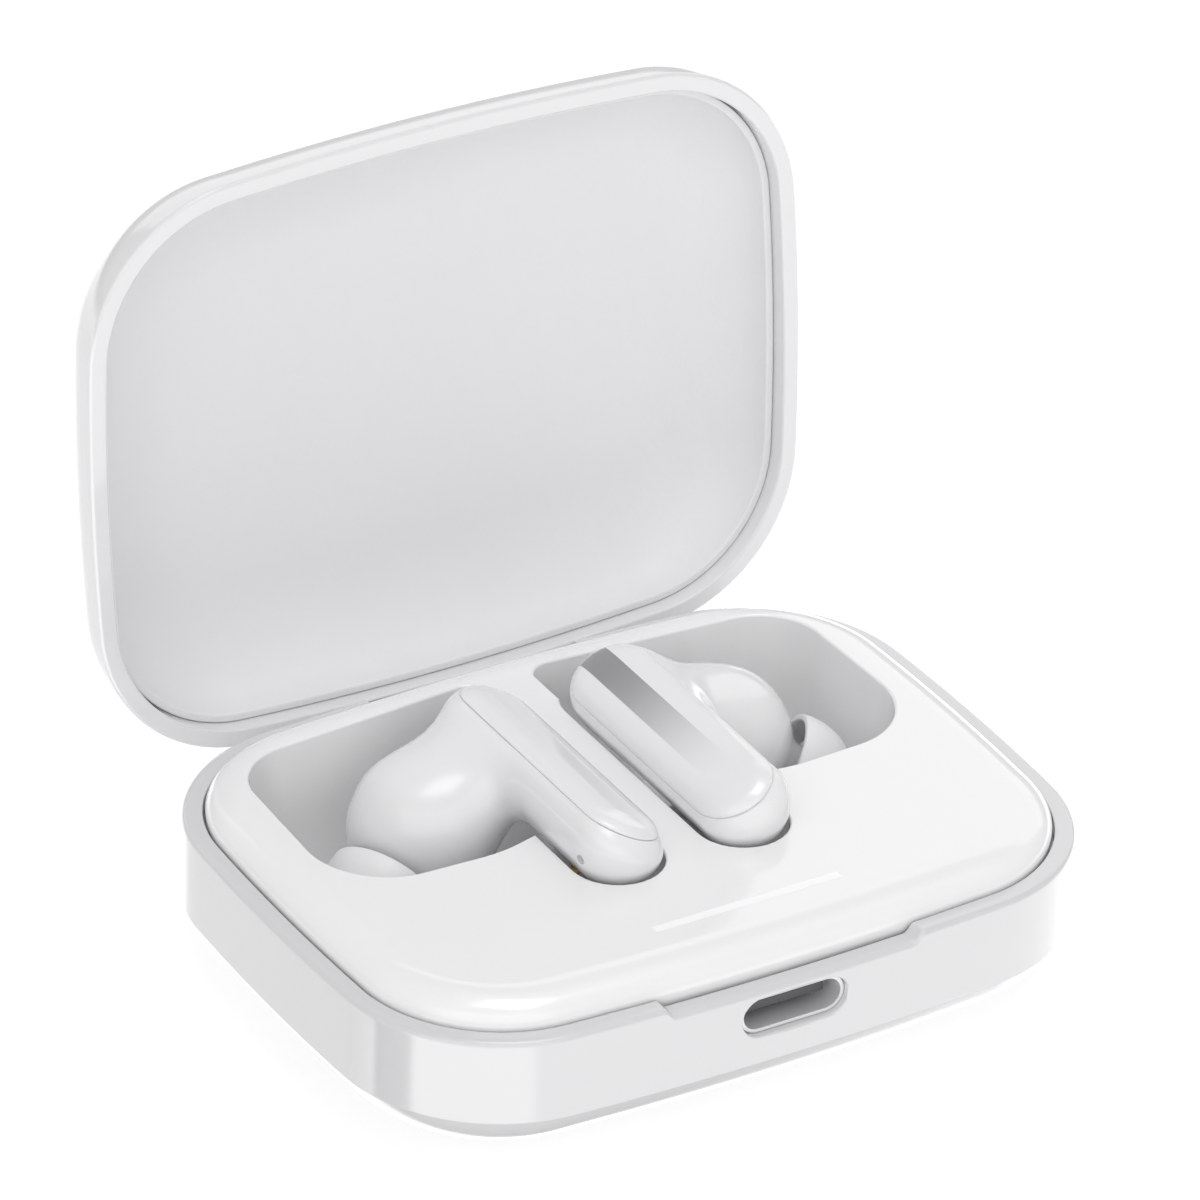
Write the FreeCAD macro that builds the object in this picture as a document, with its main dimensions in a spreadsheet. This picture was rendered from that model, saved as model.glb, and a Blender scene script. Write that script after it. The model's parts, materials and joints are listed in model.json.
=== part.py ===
import FreeCAD, Part
import math
import os
from types import SimpleNamespace

import Sketcher

# A pocket case for two wireless earbuds, standing open. X runs across the case, -Y is the front
# with the charging port, +Y the hinge side, and Z = 0 is the flat foot. Millimetres throughout.

V = FreeCAD.Vector
X_AXIS = V(1, 0, 0)
Y_AXIS = V(0, 1, 0)
Z_AXIS = V(0, 0, 1)
SIDES = {"right": 1, "left": -1}

DIMENSIONS = {
    # outline of case and lid, seen from above
    "case_width": 62.0,
    "case_depth": 48.1,
    "corner_radius": 13.2,
    "front_arc": 275.0,
    "side_arc": 211.0,
    # lower shell
    "foot_inset": 9.7,
    "band_level": 5.6,
    "rim_level": 12.6,
    "rim_round": 0.5,
    "floor_wall": 1.6,
    "rim_wall": 1.6,
    "ledge_wall": 2.4,
    "ledge_level": 11.3,
    "notch_width": 23.0,
    "notch_depth": 0.7,
    # tray that holds the earbuds
    "tray_gap": 0.15,
    "tray_wall": 1.2,
    "skirt_level": 10.0,
    "deck_level": 14.65,
    "deck_inset": 5.0,
    "deck_thick": 1.35,
    "trough_level": 12.35,
    "trough_thick": 1.0,
    # lid
    "lid_gap": 0.2,
    "lid_rim": 1.48,
    "lid_band": 0.8,
    "crown_height": 8.2,
    "crown_inset": 9.0,
    "lid_wall": 1.3,
    "liner_thick": 0.65,
    "liner_gap": 0.05,
    "liner_side_gap": 0.27,
    "liner_start": 1.3,
    "open_angle": 95.0,
    # hinge
    "hinge_back": 23.2,
    "hinge_level": 10.69,
    "pin_radius": 0.4,
    "pin_length": 22.8,
    "barrel_radius": 1.05,
    "tongue_width": 17.8,
    "slot_width": 18.4,
    "slot_level": 9.4,
    # charging port
    "port_width": 9.04,
    "port_height": 3.24,
    "port_level": 9.55,
    "plug_shell_width": 8.9,
    "plug_shell_height": 3.1,
    "plug_shell_length": 7.1,
    "plug_shell_wall": 0.28,
    # light guide
    "light_length": 16.0,
    "light_width": 0.8,
    "light_front": 16.8,
    "light_foot_level": 8.75,
    "light_foot_span": 14.0,
    # electronics in the lower shell
    "board_width": 28.0,
    "board_front": 20.6,
    "board_back": 4.2,
    "board_top": 7.95,
    "board_thick": 0.8,
    "screw_span": 25.0,
    "screw_front": 18.6,
    "cell_width": 34.0,
    "cell_front": 16.5,
    "cell_length": 11.9,
    "cell_floor": 2.2,
    "cell_thick": 4.5,
    # charge pins
    "pin_front": 6.6,
    "pin_pitch": 2.4,
    "plunger_radius": 0.45,
    "plunger_top": 12.66,
    # earbud
    "bud_offset": 4.52,
    "bud_level": 18.31,
    "bud_tilt": 25.4,
    "plate_width": 6.54,
    "plate_front": 9.6,
    "plate_back": 14.3,
    "plate_thick": 1.0,
    "plate_round": 0.9,
    "stem_lip": 0.3,
    "stem_front": 10.6,
    "stem_thick": 5.9,
    "stem_round": 3.4,
    "stem_hollow": 2.9,
    "bud_wall": 0.8,
    "head_radius": 5.5,
    "nozzle_radius": 2.1,
    "nozzle_bore": 1.4,
    "nozzle_length": 8.9,
    "tip_radius": 4.5,
}

# Latch magnets in the front wall and the plate of the lid's arm, about the hinge axis.
LATCH_X = 13.0
LATCH_WIDTH = 5.0
LATCH_THICK = 0.9
LATCH_HEIGHT = 2.2
TONGUE_TOP = 5.4
TONGUE_INNER = -0.45
TONGUE_OUTER = 0.5

# Corners of the right-hand well at deck level, with the radius that rounds each of them.
WELL_CORNERS = [
    (2.2, 0.3, 1.6),
    (12.5, -2.4, 12.0),
    (25.3, -1.8, 6.5),
    (24.5, 17.6, 5.0),
    (2.2, 19.2, 1.6),
]
# How far the well's wall has moved in, and its outer skin, at each distance below the deck.
WELL_INSIDE = [(0.0, 0.0), (0.35, 3.65), (0.85, 7.15), (1.6, 9.45), (2.6, 10.9), (4.3, 11.75)]
WELL_OUTSIDE = [(-1.0, 1.25), (-0.65, 4.15), (-0.15, 7.65), (0.7, 10.25), (1.8, 11.7), (3.4, 12.5)]
WELL_EXTRA_ROUND = 0.5

# A stem's trough at its floor and at the deck: low x, high x, front y, rear y.
TROUGH_FLOOR = (3.4, 7.4, -9.0, 14.8)
TROUGH_DECK = (1.75, 9.1, -10.75, 16.0)

# Middle of the neck along the stem, and half its length, where it leaves the faceplate.
NECK_MIDDLE = 7.6
NECK_HALF_LENGTH = 6.6

# Sizes of the magnet behind each pair of charge pins, and where it starts behind the pins.
BASE_MAGNET = (2.8, 0.8, 2.8)
BASE_MAGNET_FRONT = -3.05

# Centre of the earbud's head, the way its nozzle points, and its microphone, right-hand side.
HEAD_CENTRE = V(13.3, 8.4, 10.8)
NOZZLE_WAY = V(0.775, -0.44, -0.454).normalize()
MIC_PLACE = V(8.97, -7.76, 15.9)
MIC_WAY = V(0.98, -0.18, -0.09).normalize()


class Size:
    """A number that also carries the sheet expression it is bound to."""

    def __init__(self, text, value):
        self.text = text
        self.value = float(value)

    def __add__(self, other):
        other = as_size(other)
        return Size(f"({self.text} + {other.text})", self.value + other.value)

    def __sub__(self, other):
        other = as_size(other)
        return Size(f"({self.text} - {other.text})", self.value - other.value)

    def __mul__(self, other):
        other = as_size(other)
        return Size(f"({self.text} * {other.text})", self.value * other.value)

    def __truediv__(self, other):
        other = as_size(other)
        return Size(f"({self.text} / {other.text})", self.value / other.value)

    def __rsub__(self, other):
        return as_size(other) - self

    def __neg__(self):
        return Size(f"(0 - {self.text})", -self.value)


def as_size(number):
    return number if isinstance(number, Size) else Size(f"({number:.6f})", number)


def bind(thing, path, size):
    """Binds one property of a document object to its sheet expression."""
    thing.setExpression(path, as_size(size).text)


doc = FreeCAD.newDocument("EarbudCase")
sheet = doc.addObject("Spreadsheet::Sheet", "Sizes")
for row, (alias, number) in enumerate(DIMENSIONS.items(), 1):
    sheet.set(f"A{row}", alias)
    sheet.set(f"B{row}", str(number))
    sheet.setAlias(f"B{row}", alias)
doc.recompute()
D = SimpleNamespace(**{name: Size(f"Sizes.{name}", sheet.get(name)) for name in DIMENSIONS})

sub_parts = []


def keep(thing, label):
    """Names a finished sub-part and lists it for writing."""
    thing.Label = label
    sub_parts.append(thing)
    return thing


# ---- sketches and features -------------------------------------------------------------------


def new_body(label):
    return keep(doc.addObject("PartDesign::Body", label), label)


def add_sketch(body, name, plane="XY_Plane", offset=(0, 0, 0), turn=None):
    """A sketch on one of the body's own origin planes, moved by offset in the plane's own axes."""
    sketch = body.newObject("Sketcher::SketchObject", name)
    support = [part for part in body.Origin.OriginFeatures if part.Role == plane][0]
    sketch.AttachmentSupport = [(support, "")]
    sketch.MapMode = "FlatFace"
    if turn is not None:
        sketch.AttachmentOffset = FreeCAD.Placement(V(0, 0, 0), turn)
    for axis, distance in zip("xyz", offset):
        bind(sketch, f"AttachmentOffset.Base.{axis}", distance)
    return sketch


def constrain(sketch, *terms, size=None):
    """Adds one constraint, bound to the sheet where it has a size."""
    values = [] if size is None else [as_size(size).value]
    index = sketch.addConstraint(Sketcher.Constraint(*terms, *values))
    if size is not None:
        sketch.setExpression(f"Constraints[{index}]", as_size(size).text)


def arc(centre, radius, start, end):
    return Part.ArcOfCircle(Part.Circle(centre, Z_AXIS, radius), start, end)


def angle_of(vector):
    return math.atan2(vector.y, vector.x)


def corner_centre():
    """Centre of the rear right corner arc, which touches the rear arc and the right-hand arc."""
    rear = D.front_arc.value - D.case_depth.value / 2
    side = D.side_arc.value - D.case_width.value / 2
    rear_reach = D.front_arc.value - D.corner_radius.value
    side_reach = D.side_arc.value - D.corner_radius.value
    constant = rear_reach**2 - side_reach**2 - rear**2 + side**2
    slope = side / rear
    level = constant / (2 * rear)
    a = 1 + slope**2
    b = 2 * slope * (level + rear)
    c = (level + rear) ** 2 - rear_reach**2
    x = (-b + math.sqrt(b * b - 4 * a * c)) / (2 * a)
    return V(x, slope * x + level, 0)


def case_outline(sketch, inset=0.0):
    """The case's rounded outline, moved inwards by inset: eight tangent arcs."""
    inset = as_size(inset)
    rear = D.front_arc - D.case_depth / 2
    side = D.side_arc - D.case_width / 2
    corner = corner_centre()
    to_rear = corner + V(0, rear.value, 0)
    to_side = corner + V(side.value, 0, 0)
    long_angle = angle_of(to_rear)
    short_angle = angle_of(to_side)
    long_radius = D.front_arc - inset
    short_radius = D.side_arc - inset
    round_radius = D.corner_radius - inset
    pi = math.pi
    parts = [
        (V(-side.value, 0, 0), short_radius, -short_angle, short_angle),
        (corner, round_radius, short_angle, long_angle),
        (V(0, -rear.value, 0), long_radius, long_angle, pi - long_angle),
        (V(-corner.x, corner.y, 0), round_radius, pi - long_angle, pi - short_angle),
        (V(side.value, 0, 0), short_radius, pi - short_angle, pi + short_angle),
        (V(-corner.x, -corner.y, 0), round_radius, pi + short_angle, pi + long_angle),
        (V(0, rear.value, 0), long_radius, pi + long_angle, 2 * pi - long_angle),
        (V(corner.x, -corner.y, 0), round_radius, 2 * pi - long_angle, 2 * pi - short_angle),
    ]
    sketch.addGeometry([arc(c, radius.value, a, b) for c, radius, a, b in parts], False)
    for index, part in enumerate(parts):
        constrain(sketch, "Tangent", index, 2, (index + 1) % len(parts), 1)
        constrain(sketch, "Radius", index, size=part[1])
    for index in (0, 4):
        constrain(sketch, "PointOnObject", index, 3, -1)
    for index in (2, 6):
        constrain(sketch, "PointOnObject", index, 3, -2)
    constrain(sketch, "DistanceX", 0, 3, -1, 1, size=side)
    constrain(sketch, "DistanceX", -1, 1, 4, 3, size=side)
    constrain(sketch, "DistanceY", 2, 3, -1, 1, size=rear)
    constrain(sketch, "DistanceY", -1, 1, 6, 3, size=rear)


def slot_outline(sketch, low, high, radius, middle=0.0):
    """A slot with round ends along the sketch's y axis, from y = low to y = high at x = middle."""
    low, high, radius, middle = (as_size(size) for size in (low, high, radius, middle))
    x = middle.value
    r = radius.value
    bottom = low.value + r
    top = high.value - r
    sketch.addGeometry(
        [
            Part.LineSegment(V(x + r, bottom, 0), V(x + r, top, 0)),
            arc(V(x, top, 0), r, 0, math.pi),
            Part.LineSegment(V(x - r, top, 0), V(x - r, bottom, 0)),
            arc(V(x, bottom, 0), r, math.pi, 2 * math.pi),
        ],
        False,
    )
    for index in range(4):
        constrain(sketch, "Tangent", index, 2, (index + 1) % 4, 1)
    constrain(sketch, "Vertical", 0)
    constrain(sketch, "Radius", 1, size=radius)
    for index, level in ((1, high - radius), (3, low + radius)):
        constrain(sketch, "DistanceY", index, 3, size=level)
    constrain(sketch, "DistanceX", 1, 3, size=middle)


def circle(sketch, radius, x=0.0, y=0.0):
    index = sketch.addGeometry(Part.Circle(V(as_size(x).value, as_size(y).value, 0), Z_AXIS, 1))
    constrain(sketch, "Radius", index, size=radius)
    constrain(sketch, "DistanceX", index, 3, size=x)
    constrain(sketch, "DistanceY", index, 3, size=y)


def rectangle(sketch, low_x, high_x, low_y, high_y):
    """A rectangle between two opposite corners, each side placed by the sheet."""
    xs = [as_size(low_x), as_size(high_x)]
    ys = [as_size(low_y), as_size(high_y)]
    ring = [(xs[0], ys[0]), (xs[1], ys[0]), (xs[1], ys[1]), (xs[0], ys[1])]
    first = polygon(sketch, [(x.value, y.value) for x, y in ring])
    for index in (0, 2):
        constrain(sketch, "Horizontal", first + index)
        constrain(sketch, "Vertical", first + index + 1)
        constrain(sketch, "DistanceX", first + index, 1, size=ring[index][0])
        constrain(sketch, "DistanceY", first + index, 1, size=ring[index][1])


def polygon(sketch, points):
    """A closed ring of lines through the points. Returns the index of its first line."""
    first = sketch.GeometryCount
    corners = [V(x, y, 0) for x, y in points]
    turned = corners[1:] + corners[:1]
    sketch.addGeometry([Part.LineSegment(a, b) for a, b in zip(corners, turned)], False)
    for index in range(len(points)):
        constrain(sketch, "Coincident", first + index, 2, first + (index + 1) % len(points), 1)
    return first


def feature(body, kind, profile, **settings):
    made = body.newObject(f"PartDesign::{kind}", f"{profile.Name}_{kind}")
    made.Profile = profile
    for name, setting in settings.items():
        if isinstance(setting, Size):
            bind(made, name, setting)
        else:
            setattr(made, name, setting)
    return made


def pad(body, profile, length, **settings):
    return feature(body, "Pad", profile, Length=as_size(length), **settings)


def pocket(body, profile, length, **settings):
    return feature(body, "Pocket", profile, Length=as_size(length), **settings)


def loft(body, kind, profiles):
    return feature(body, kind, profiles[0], Sections=profiles[1:])


def fillet(body, radius, wanted):
    """Rounds the edges of the body's last feature that the wanted test picks."""
    doc.recompute()
    base = body.Tip
    names = [f"Edge{i}" for i, edge in enumerate(base.Shape.Edges, 1) if wanted(edge)]
    made = body.newObject("PartDesign::Fillet", f"{base.Name}_Fillet")
    made.Base = (base, names)
    bind(made, "Radius", radius)


def flat_at(level):
    """A test for the edges that lie in the plane z = level."""
    return lambda edge: abs(edge.BoundBox.ZMin - level) < 1e-3 and edge.BoundBox.ZLength < 1e-3


def outline_stack(body, name, rings, shift=(0.0, 0.0)):
    """Case outlines, one for each (inset, level) in rings, lowered and moved forward by shift."""
    back, down = (as_size(size) for size in shift)
    sketches = []
    for number, (inset, level) in enumerate(rings):
        sketch = add_sketch(body, f"{name}_{number}", offset=(0, -back, as_size(level) - down))
        case_outline(sketch, inset)
        sketches.append(sketch)
    return sketches


def quarter(inset, level, inset_span, level_span, steps):
    """Rings on a quarter ellipse that starts upright at (inset, level) and ends level."""
    turns = [math.pi / 2 * step / steps for step in range(steps + 1)]
    return [
        (inset + inset_span * (1 - math.cos(turn)), level + level_span * math.sin(turn))
        for turn in turns
    ]


# ---- simple solids ---------------------------------------------------------------------------


def box(name, corner, spans):
    """A box from its lowest corner and its spans along X, Y and Z."""
    made = doc.addObject("Part::Box", name)
    for axis, distance in zip("xyz", corner):
        bind(made, f"Placement.Base.{axis}", distance)
    for side, span in zip(("Length", "Width", "Height"), spans):
        bind(made, side, span)
    return made


def cylinder(name, radius, height, base, turn=None):
    made = doc.addObject("Part::Cylinder", name)
    bind(made, "Radius", radius)
    bind(made, "Height", height)
    if turn is not None:
        made.Placement.Rotation = turn
    for axis, distance in zip("xyz", base):
        bind(made, f"Placement.Base.{axis}", distance)
    return made


def group(name, pieces):
    """Separate solids that share one node."""
    made = doc.addObject("Part::Compound", name)
    made.Links = pieces
    return keep(made, name)


# ---- lower shell -----------------------------------------------------------------------------


def underside_rings(wall, last_inset, steps=5):
    """Rings on the arc that leaves the foot level and climbs to last_inset, wall inside the skin."""
    radius = (D.foot_inset * D.foot_inset + D.band_level * D.band_level) / (D.band_level * 2)
    reach = radius - wall
    last_turn = math.asin((D.foot_inset.value - as_size(last_inset).value) / reach.value)
    rings = []
    for step in range(steps + 1):
        turn = last_turn * step / steps
        rings.append((D.foot_inset - reach * math.sin(turn), radius - reach * math.cos(turn)))
    return rings


def make_base_shell():
    body = new_body("base_shell")
    rings = underside_rings(0.0, 0.0)
    rings[-1] = (0.0, D.band_level)
    sketches = outline_stack(body, "underside", rings)
    loft(body, "AdditiveLoft", sketches)
    band = outline_stack(body, "band", [(0.0, D.band_level)])[0]
    pad(body, band, D.rim_level - D.band_level)
    fillet(body, D.rim_round, flat_at(D.rim_level.value))

    cavity_rings = underside_rings(D.floor_wall, D.ledge_wall)
    cavity_rings[-1] = (D.ledge_wall, cavity_rings[-1][1])
    loft(body, "SubtractiveLoft", outline_stack(body, "cavity", cavity_rings))
    upper = outline_stack(body, "cavity_upper", [(D.ledge_wall, D.rim_level)])[0]
    pocket(body, upper, D.rim_level - cavity_rings[-1][1])
    seat = outline_stack(body, "tray_seat", [(D.rim_wall, D.rim_level)])[0]
    pocket(body, seat, D.rim_level - D.ledge_level)

    slot = add_sketch(body, "hinge_slot", offset=(0, 0, D.rim_level))
    rectangle(slot, -D.slot_width / 2, D.slot_width / 2, D.hinge_back - 2.0, D.case_depth / 2 + 1)
    pocket(body, slot, D.rim_level - D.slot_level)
    pin_hole = add_sketch(body, "pin_hole", "YZ_Plane")
    circle(pin_hole, D.pin_radius + 0.01, D.hinge_back, D.hinge_level)
    pocket(body, pin_hole, D.pin_length + 0.1, Midplane=True)

    port = add_sketch(body, "port", "XZ_Plane", turn=FreeCAD.Rotation(Z_AXIS, 90))
    slot_outline(port, -D.port_width / 2, D.port_width / 2, D.port_height / 2, D.port_level)
    pocket(body, port, D.case_depth, Reversed=True)
    notch_face = D.case_depth / 2 - D.rim_wall - 0.4
    notch = add_sketch(body, "thumb_notch", "XZ_Plane", offset=(0, 0, notch_face))
    notch_floor = D.rim_level.value - D.notch_depth.value
    half = D.notch_width.value / 2
    top = D.rim_level.value + 1
    flare = 1.4
    slope_low = half - flare
    slope_high = half + flare
    corners = [(-slope_low, notch_floor), (slope_low, notch_floor), (slope_high, top), (-slope_high, top)]
    polygon(notch, corners)
    pocket(body, notch, D.rim_wall * 2, Reversed=True)

    posts = add_sketch(body, "screw_posts", offset=(0, 0, D.board_top - D.board_thick))
    for side in SIDES.values():
        circle(posts, 1.3, D.screw_span / 2 * side, -D.screw_front)
    pad(body, posts, 4.6, Reversed=True)
    holes = add_sketch(body, "screw_holes", offset=(0, 0, D.board_top - D.board_thick))
    for side in SIDES.values():
        circle(holes, 0.52, D.screw_span / 2 * side, -D.screw_front)
    pocket(body, holes, 3.2)
    pockets = add_sketch(body, "latch_magnet_seats", offset=(0, 0, D.ledge_level))
    for side in SIDES.values():
        low, high, front, back = latch_box(side)
        rectangle(pockets, low - 0.05, high + 0.05, front - 0.05, back + 0.05)
    pocket(body, pockets, LATCH_HEIGHT + 0.1)
    return body


def latch_box(side):
    """X and Y limits of one latch magnet, kept inside the front wall where the wall curves back."""
    sag = LATCH_X**2 / (2 * D.front_arc.value)
    front = -(D.case_depth / 2) + sag + 0.45
    middle = LATCH_X * side
    return middle - LATCH_WIDTH / 2, middle + LATCH_WIDTH / 2, front, front + LATCH_THICK


# ---- tray ------------------------------------------------------------------------------------

def moved_in(points, shrink):
    """The polygon with every side moved inwards by shrink."""
    count = len(points)
    sides = []
    for index in range(count):
        start = V(*points[index], 0)
        end = V(*points[(index + 1) % count], 0)
        along = (end - start).normalize()
        sides.append((start + V(-along.y, along.x, 0) * shrink, along))
    moved = []
    for index in range(count):
        here, along = sides[index - 1]
        there, away = sides[index]
        gap = there - here
        reach = (gap.x * away.y - gap.y * away.x) / (along.x * away.y - along.y * away.x)
        moved.append(here + along * reach)
    return moved


def well_outline(sketch, shrink, side):
    """The well's outline, shrunk, its corners rounded by arcs that touch the straight sides."""
    points = moved_in([corner[:2] for corner in WELL_CORNERS], shrink)
    count = len(points)
    arcs = []
    for index, point in enumerate(points):
        radius = WELL_CORNERS[index][2] + WELL_EXTRA_ROUND * max(shrink, 0)
        back = (points[index - 1] - point).normalize()
        ahead = (points[(index + 1) % count] - point).normalize()
        half = back.getAngle(ahead) / 2
        inward = (back + ahead).normalize()
        summit = point + inward * (radius / math.sin(half) - radius)
        reach = radius / math.tan(half)
        arcs.append((point + back * reach, summit, point + ahead * reach))
    flip = FreeCAD.Matrix()
    flip.scale(V(side, 1, 1))
    arcs = [[flip.multVec(point) for point in ends] for ends in arcs]
    geometry = []
    for index, (start, middle, end) in enumerate(arcs):
        geometry.append(Part.Arc(start, middle, end))
        geometry.append(Part.LineSegment(end, arcs[(index + 1) % count][0]))
    sketch.addGeometry(geometry, False)
    for index in range(len(geometry)):
        constrain(sketch, "Block", index)


def trough_outline(sketch, side, low_x, high_x, front, back):
    """The slot that one stem lies in, seen from above."""
    radius = (high_x - low_x) / 2
    slot_outline(sketch, front, back, radius, (low_x + radius) * side)


def trough_rings(wall):
    """(low x, high x, front, back, level) of a stem's trough, from its floor up to the deck."""
    floor = D.trough_level - D.trough_thick * (1 if wall else 0)
    top = D.deck_level - (1.2 if wall else 0)
    low, high, front, rear = TROUGH_FLOOR
    narrow = (low - wall, high + wall, front - wall, rear + wall, floor)
    low, high, front, rear = TROUGH_DECK
    wide = (low - wall * 0.4, high + wall, front - wall, rear + wall, top)
    return [narrow, wide]


def make_tray():
    body = new_body("bud_tray")
    shoulder = D.rim_wall + D.tray_gap
    skirt = D.ledge_wall + D.tray_gap
    rings = quarter(shoulder, D.rim_level, D.deck_inset - shoulder, D.deck_level - D.rim_level, 4)
    flange = outline_stack(body, "flange", [(shoulder, D.ledge_level)])[0]
    pad(body, flange, D.rim_level - D.ledge_level)
    loft(body, "AdditiveLoft", outline_stack(body, "shoulder", rings))
    skirt_ring = outline_stack(body, "skirt", [(skirt, D.skirt_level)])[0]
    pad(body, skirt_ring, D.ledge_level - D.skirt_level)
    hollow = outline_stack(body, "hollow", [(skirt + D.tray_wall, D.skirt_level)])[0]
    pocket(body, hollow, D.deck_level - D.deck_thick - D.skirt_level, Reversed=True)

    arch = add_sketch(body, "receptacle_arch", offset=(0, 0, D.skirt_level))
    arch_half = D.plug_shell_width / 2 + 0.3
    rectangle(arch, -arch_half, arch_half, -D.case_depth / 2, -D.case_depth / 2 + 5.0)
    pocket(body, arch, D.ledge_level - D.skirt_level, Reversed=True)

    for label, side in SIDES.items():
        loft(body, "AdditiveLoft", well_stack(body, f"well_skin_{label}", WELL_OUTSIDE, side))
        loft(body, "AdditiveLoft", trough_stack(body, f"trough_skin_{label}", 1.0, side))
    for label, side in SIDES.items():
        loft(body, "SubtractiveLoft", well_stack(body, f"well_{label}", WELL_INSIDE, side))
        loft(body, "SubtractiveLoft", trough_stack(body, f"trough_{label}", 0.0, side))
    pin_holes = add_sketch(body, "pin_holes", offset=(0, 0, D.deck_level))
    for side in SIDES.values():
        for place in pin_places():
            circle(pin_holes, D.plunger_radius + 0.12, contact_offset() * side, place)
    pocket(body, pin_holes, 4.0)
    light_slot = add_sketch(body, "light_slot", offset=(0, 0, D.deck_level))
    half = D.light_length / 2 + 0.05
    depth = D.light_width / 2 + 0.05
    rectangle(light_slot, -half, half, -D.light_front - depth, -D.light_front + depth)
    pocket(body, light_slot, 3.0)
    return body


def well_stack(body, name, rings, side):
    sketches = []
    for number, (shrink, depth) in enumerate(rings):
        sketch = add_sketch(body, f"{name}_{number}", offset=(0, 0, D.deck_level - depth))
        well_outline(sketch, shrink, side)
        sketches.append(sketch)
    return sketches


def trough_stack(body, name, wall, side):
    sketches = []
    for number, (low_x, high_x, front, back, level) in enumerate(trough_rings(wall)):
        sketch = add_sketch(body, f"{name}_{number}", offset=(0, 0, level))
        trough_outline(sketch, side, low_x, high_x, front, back)
        sketches.append(sketch)
    return sketches


# ---- lid -------------------------------------------------------------------------------------

LID_HOME = (D.hinge_back, D.hinge_level)


def put_on_hinge(body):
    """A lid piece is drawn closed, about the hinge axis, and stands open."""
    body.Placement = FreeCAD.Placement(V(0, 0, 0), FreeCAD.Rotation(-X_AXIS, D.open_angle.value))
    bind(body, "Placement.Rotation.Angle", D.open_angle)
    bind(body, "Placement.Base.y", D.hinge_back)
    bind(body, "Placement.Base.z", D.hinge_level)


def make_lid_shell():
    body = new_body("lid_shell")
    lid_foot = D.rim_level + D.lid_gap
    band_top = lid_foot + D.lid_band
    band = outline_stack(body, "lid_band", [(0.0, lid_foot)], LID_HOME)[0]
    pad(body, band, D.lid_band)
    crown = quarter(as_size(0.0), band_top, D.crown_inset, D.crown_height, 7)
    loft(body, "AdditiveLoft", outline_stack(body, "crown", crown, LID_HOME))
    inner_base = lid_foot + D.lid_band * 0.75
    mouth = outline_stack(body, "mouth", [(D.lid_rim, lid_foot)], LID_HOME)[0]
    pocket(body, mouth, inner_base - lid_foot, Reversed=True)
    inside = lid_inside_rings(inner_base, 0.0, 0.0)
    loft(body, "SubtractiveLoft", outline_stack(body, "inside", inside, LID_HOME))
    slot = add_sketch(body, "tongue_slot", offset=(0, 0, lid_foot - D.hinge_level))
    slot_half = D.tongue_width / 2 + 0.1
    rectangle(slot, -slot_half, slot_half, -0.6, 2.0)
    pocket(body, slot, TONGUE_TOP + 0.1 - (lid_foot - D.hinge_level), Reversed=True)
    seat_home = (0, -D.hinge_back, lid_foot - D.hinge_level + 0.6)
    seats = add_sketch(body, "lid_magnet_seats", offset=seat_home)
    for side in SIDES.values():
        low, high, front, back = latch_box(side)
        rectangle(seats, low - 0.05, high + 0.05, front - 0.05, back + 0.4)
    pocket(body, seats, LATCH_HEIGHT + 0.1, Reversed=True)
    put_on_hinge(body)
    return body


def lid_inside_rings(base, side_gap, roof_gap):
    """Rings of the lid's inner face, or of a face that lies the two gaps further in."""
    ceiling = D.rim_level + D.lid_gap + D.lid_band + D.crown_height - D.lid_wall - roof_gap
    return quarter(D.lid_rim + side_gap, base, D.crown_inset - 0.9, ceiling - base, 7)


def make_lid_liner():
    body = new_body("lid_liner")
    base = D.rim_level + D.lid_gap + D.liner_start
    outside = lid_inside_rings(base, D.liner_side_gap, D.liner_gap)
    inside = lid_inside_rings(base, D.liner_side_gap + D.liner_thick, D.liner_gap + D.liner_thick)
    loft(body, "AdditiveLoft", outline_stack(body, "liner_outside", outside, LID_HOME))
    loft(body, "SubtractiveLoft", outline_stack(body, "liner_inside", inside, LID_HOME))
    put_on_hinge(body)
    return body


def make_hinge_tongue():
    """The lid's arm: a plate in the lid's rear wall that ends in a barrel round the pin."""
    body = new_body("hinge_tongue")
    profile = add_sketch(body, "tongue_profile", "YZ_Plane")
    rectangle(profile, TONGUE_INNER, TONGUE_OUTER, 0.0, TONGUE_TOP)
    pad(body, profile, D.tongue_width, Midplane=True)
    barrel = add_sketch(body, "tongue_barrel", "YZ_Plane")
    circle(barrel, D.barrel_radius)
    pad(body, barrel, D.tongue_width, Midplane=True)
    bore = add_sketch(body, "tongue_bore", "YZ_Plane")
    circle(bore, D.pin_radius + 0.05)
    pocket(body, bore, D.tongue_width + 1, Midplane=True)
    put_on_hinge(body)
    return body


def make_lid_magnets():
    body_level = D.rim_level + D.lid_gap + 0.6
    magnets = []
    for label, side in SIDES.items():
        low, high, front, back = latch_box(side)
        corner = V(low, front.value - D.hinge_back.value, body_level.value - D.hinge_level.value + 0.05)
        magnet = doc.addObject("Part::Box", f"lid_magnet_{label}")
        magnet.Length = LATCH_WIDTH
        magnet.Width = LATCH_THICK
        magnet.Height = LATCH_HEIGHT
        swing = FreeCAD.Rotation(-X_AXIS, D.open_angle.value)
        home = V(0, D.hinge_back.value, D.hinge_level.value)
        magnet.Placement = FreeCAD.Placement(home + swing.multVec(corner), swing)
        magnets.append(magnet)
    group("lid_magnets", magnets)


def make_hinge_pin():
    along = FreeCAD.Rotation(Z_AXIS, X_AXIS)
    base = (-D.pin_length / 2, D.hinge_back, D.hinge_level)
    keep(cylinder("hinge_pin", D.pin_radius, D.pin_length, base, along), "hinge_pin")


# ---- port, light and electronics -------------------------------------------------------------


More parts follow.
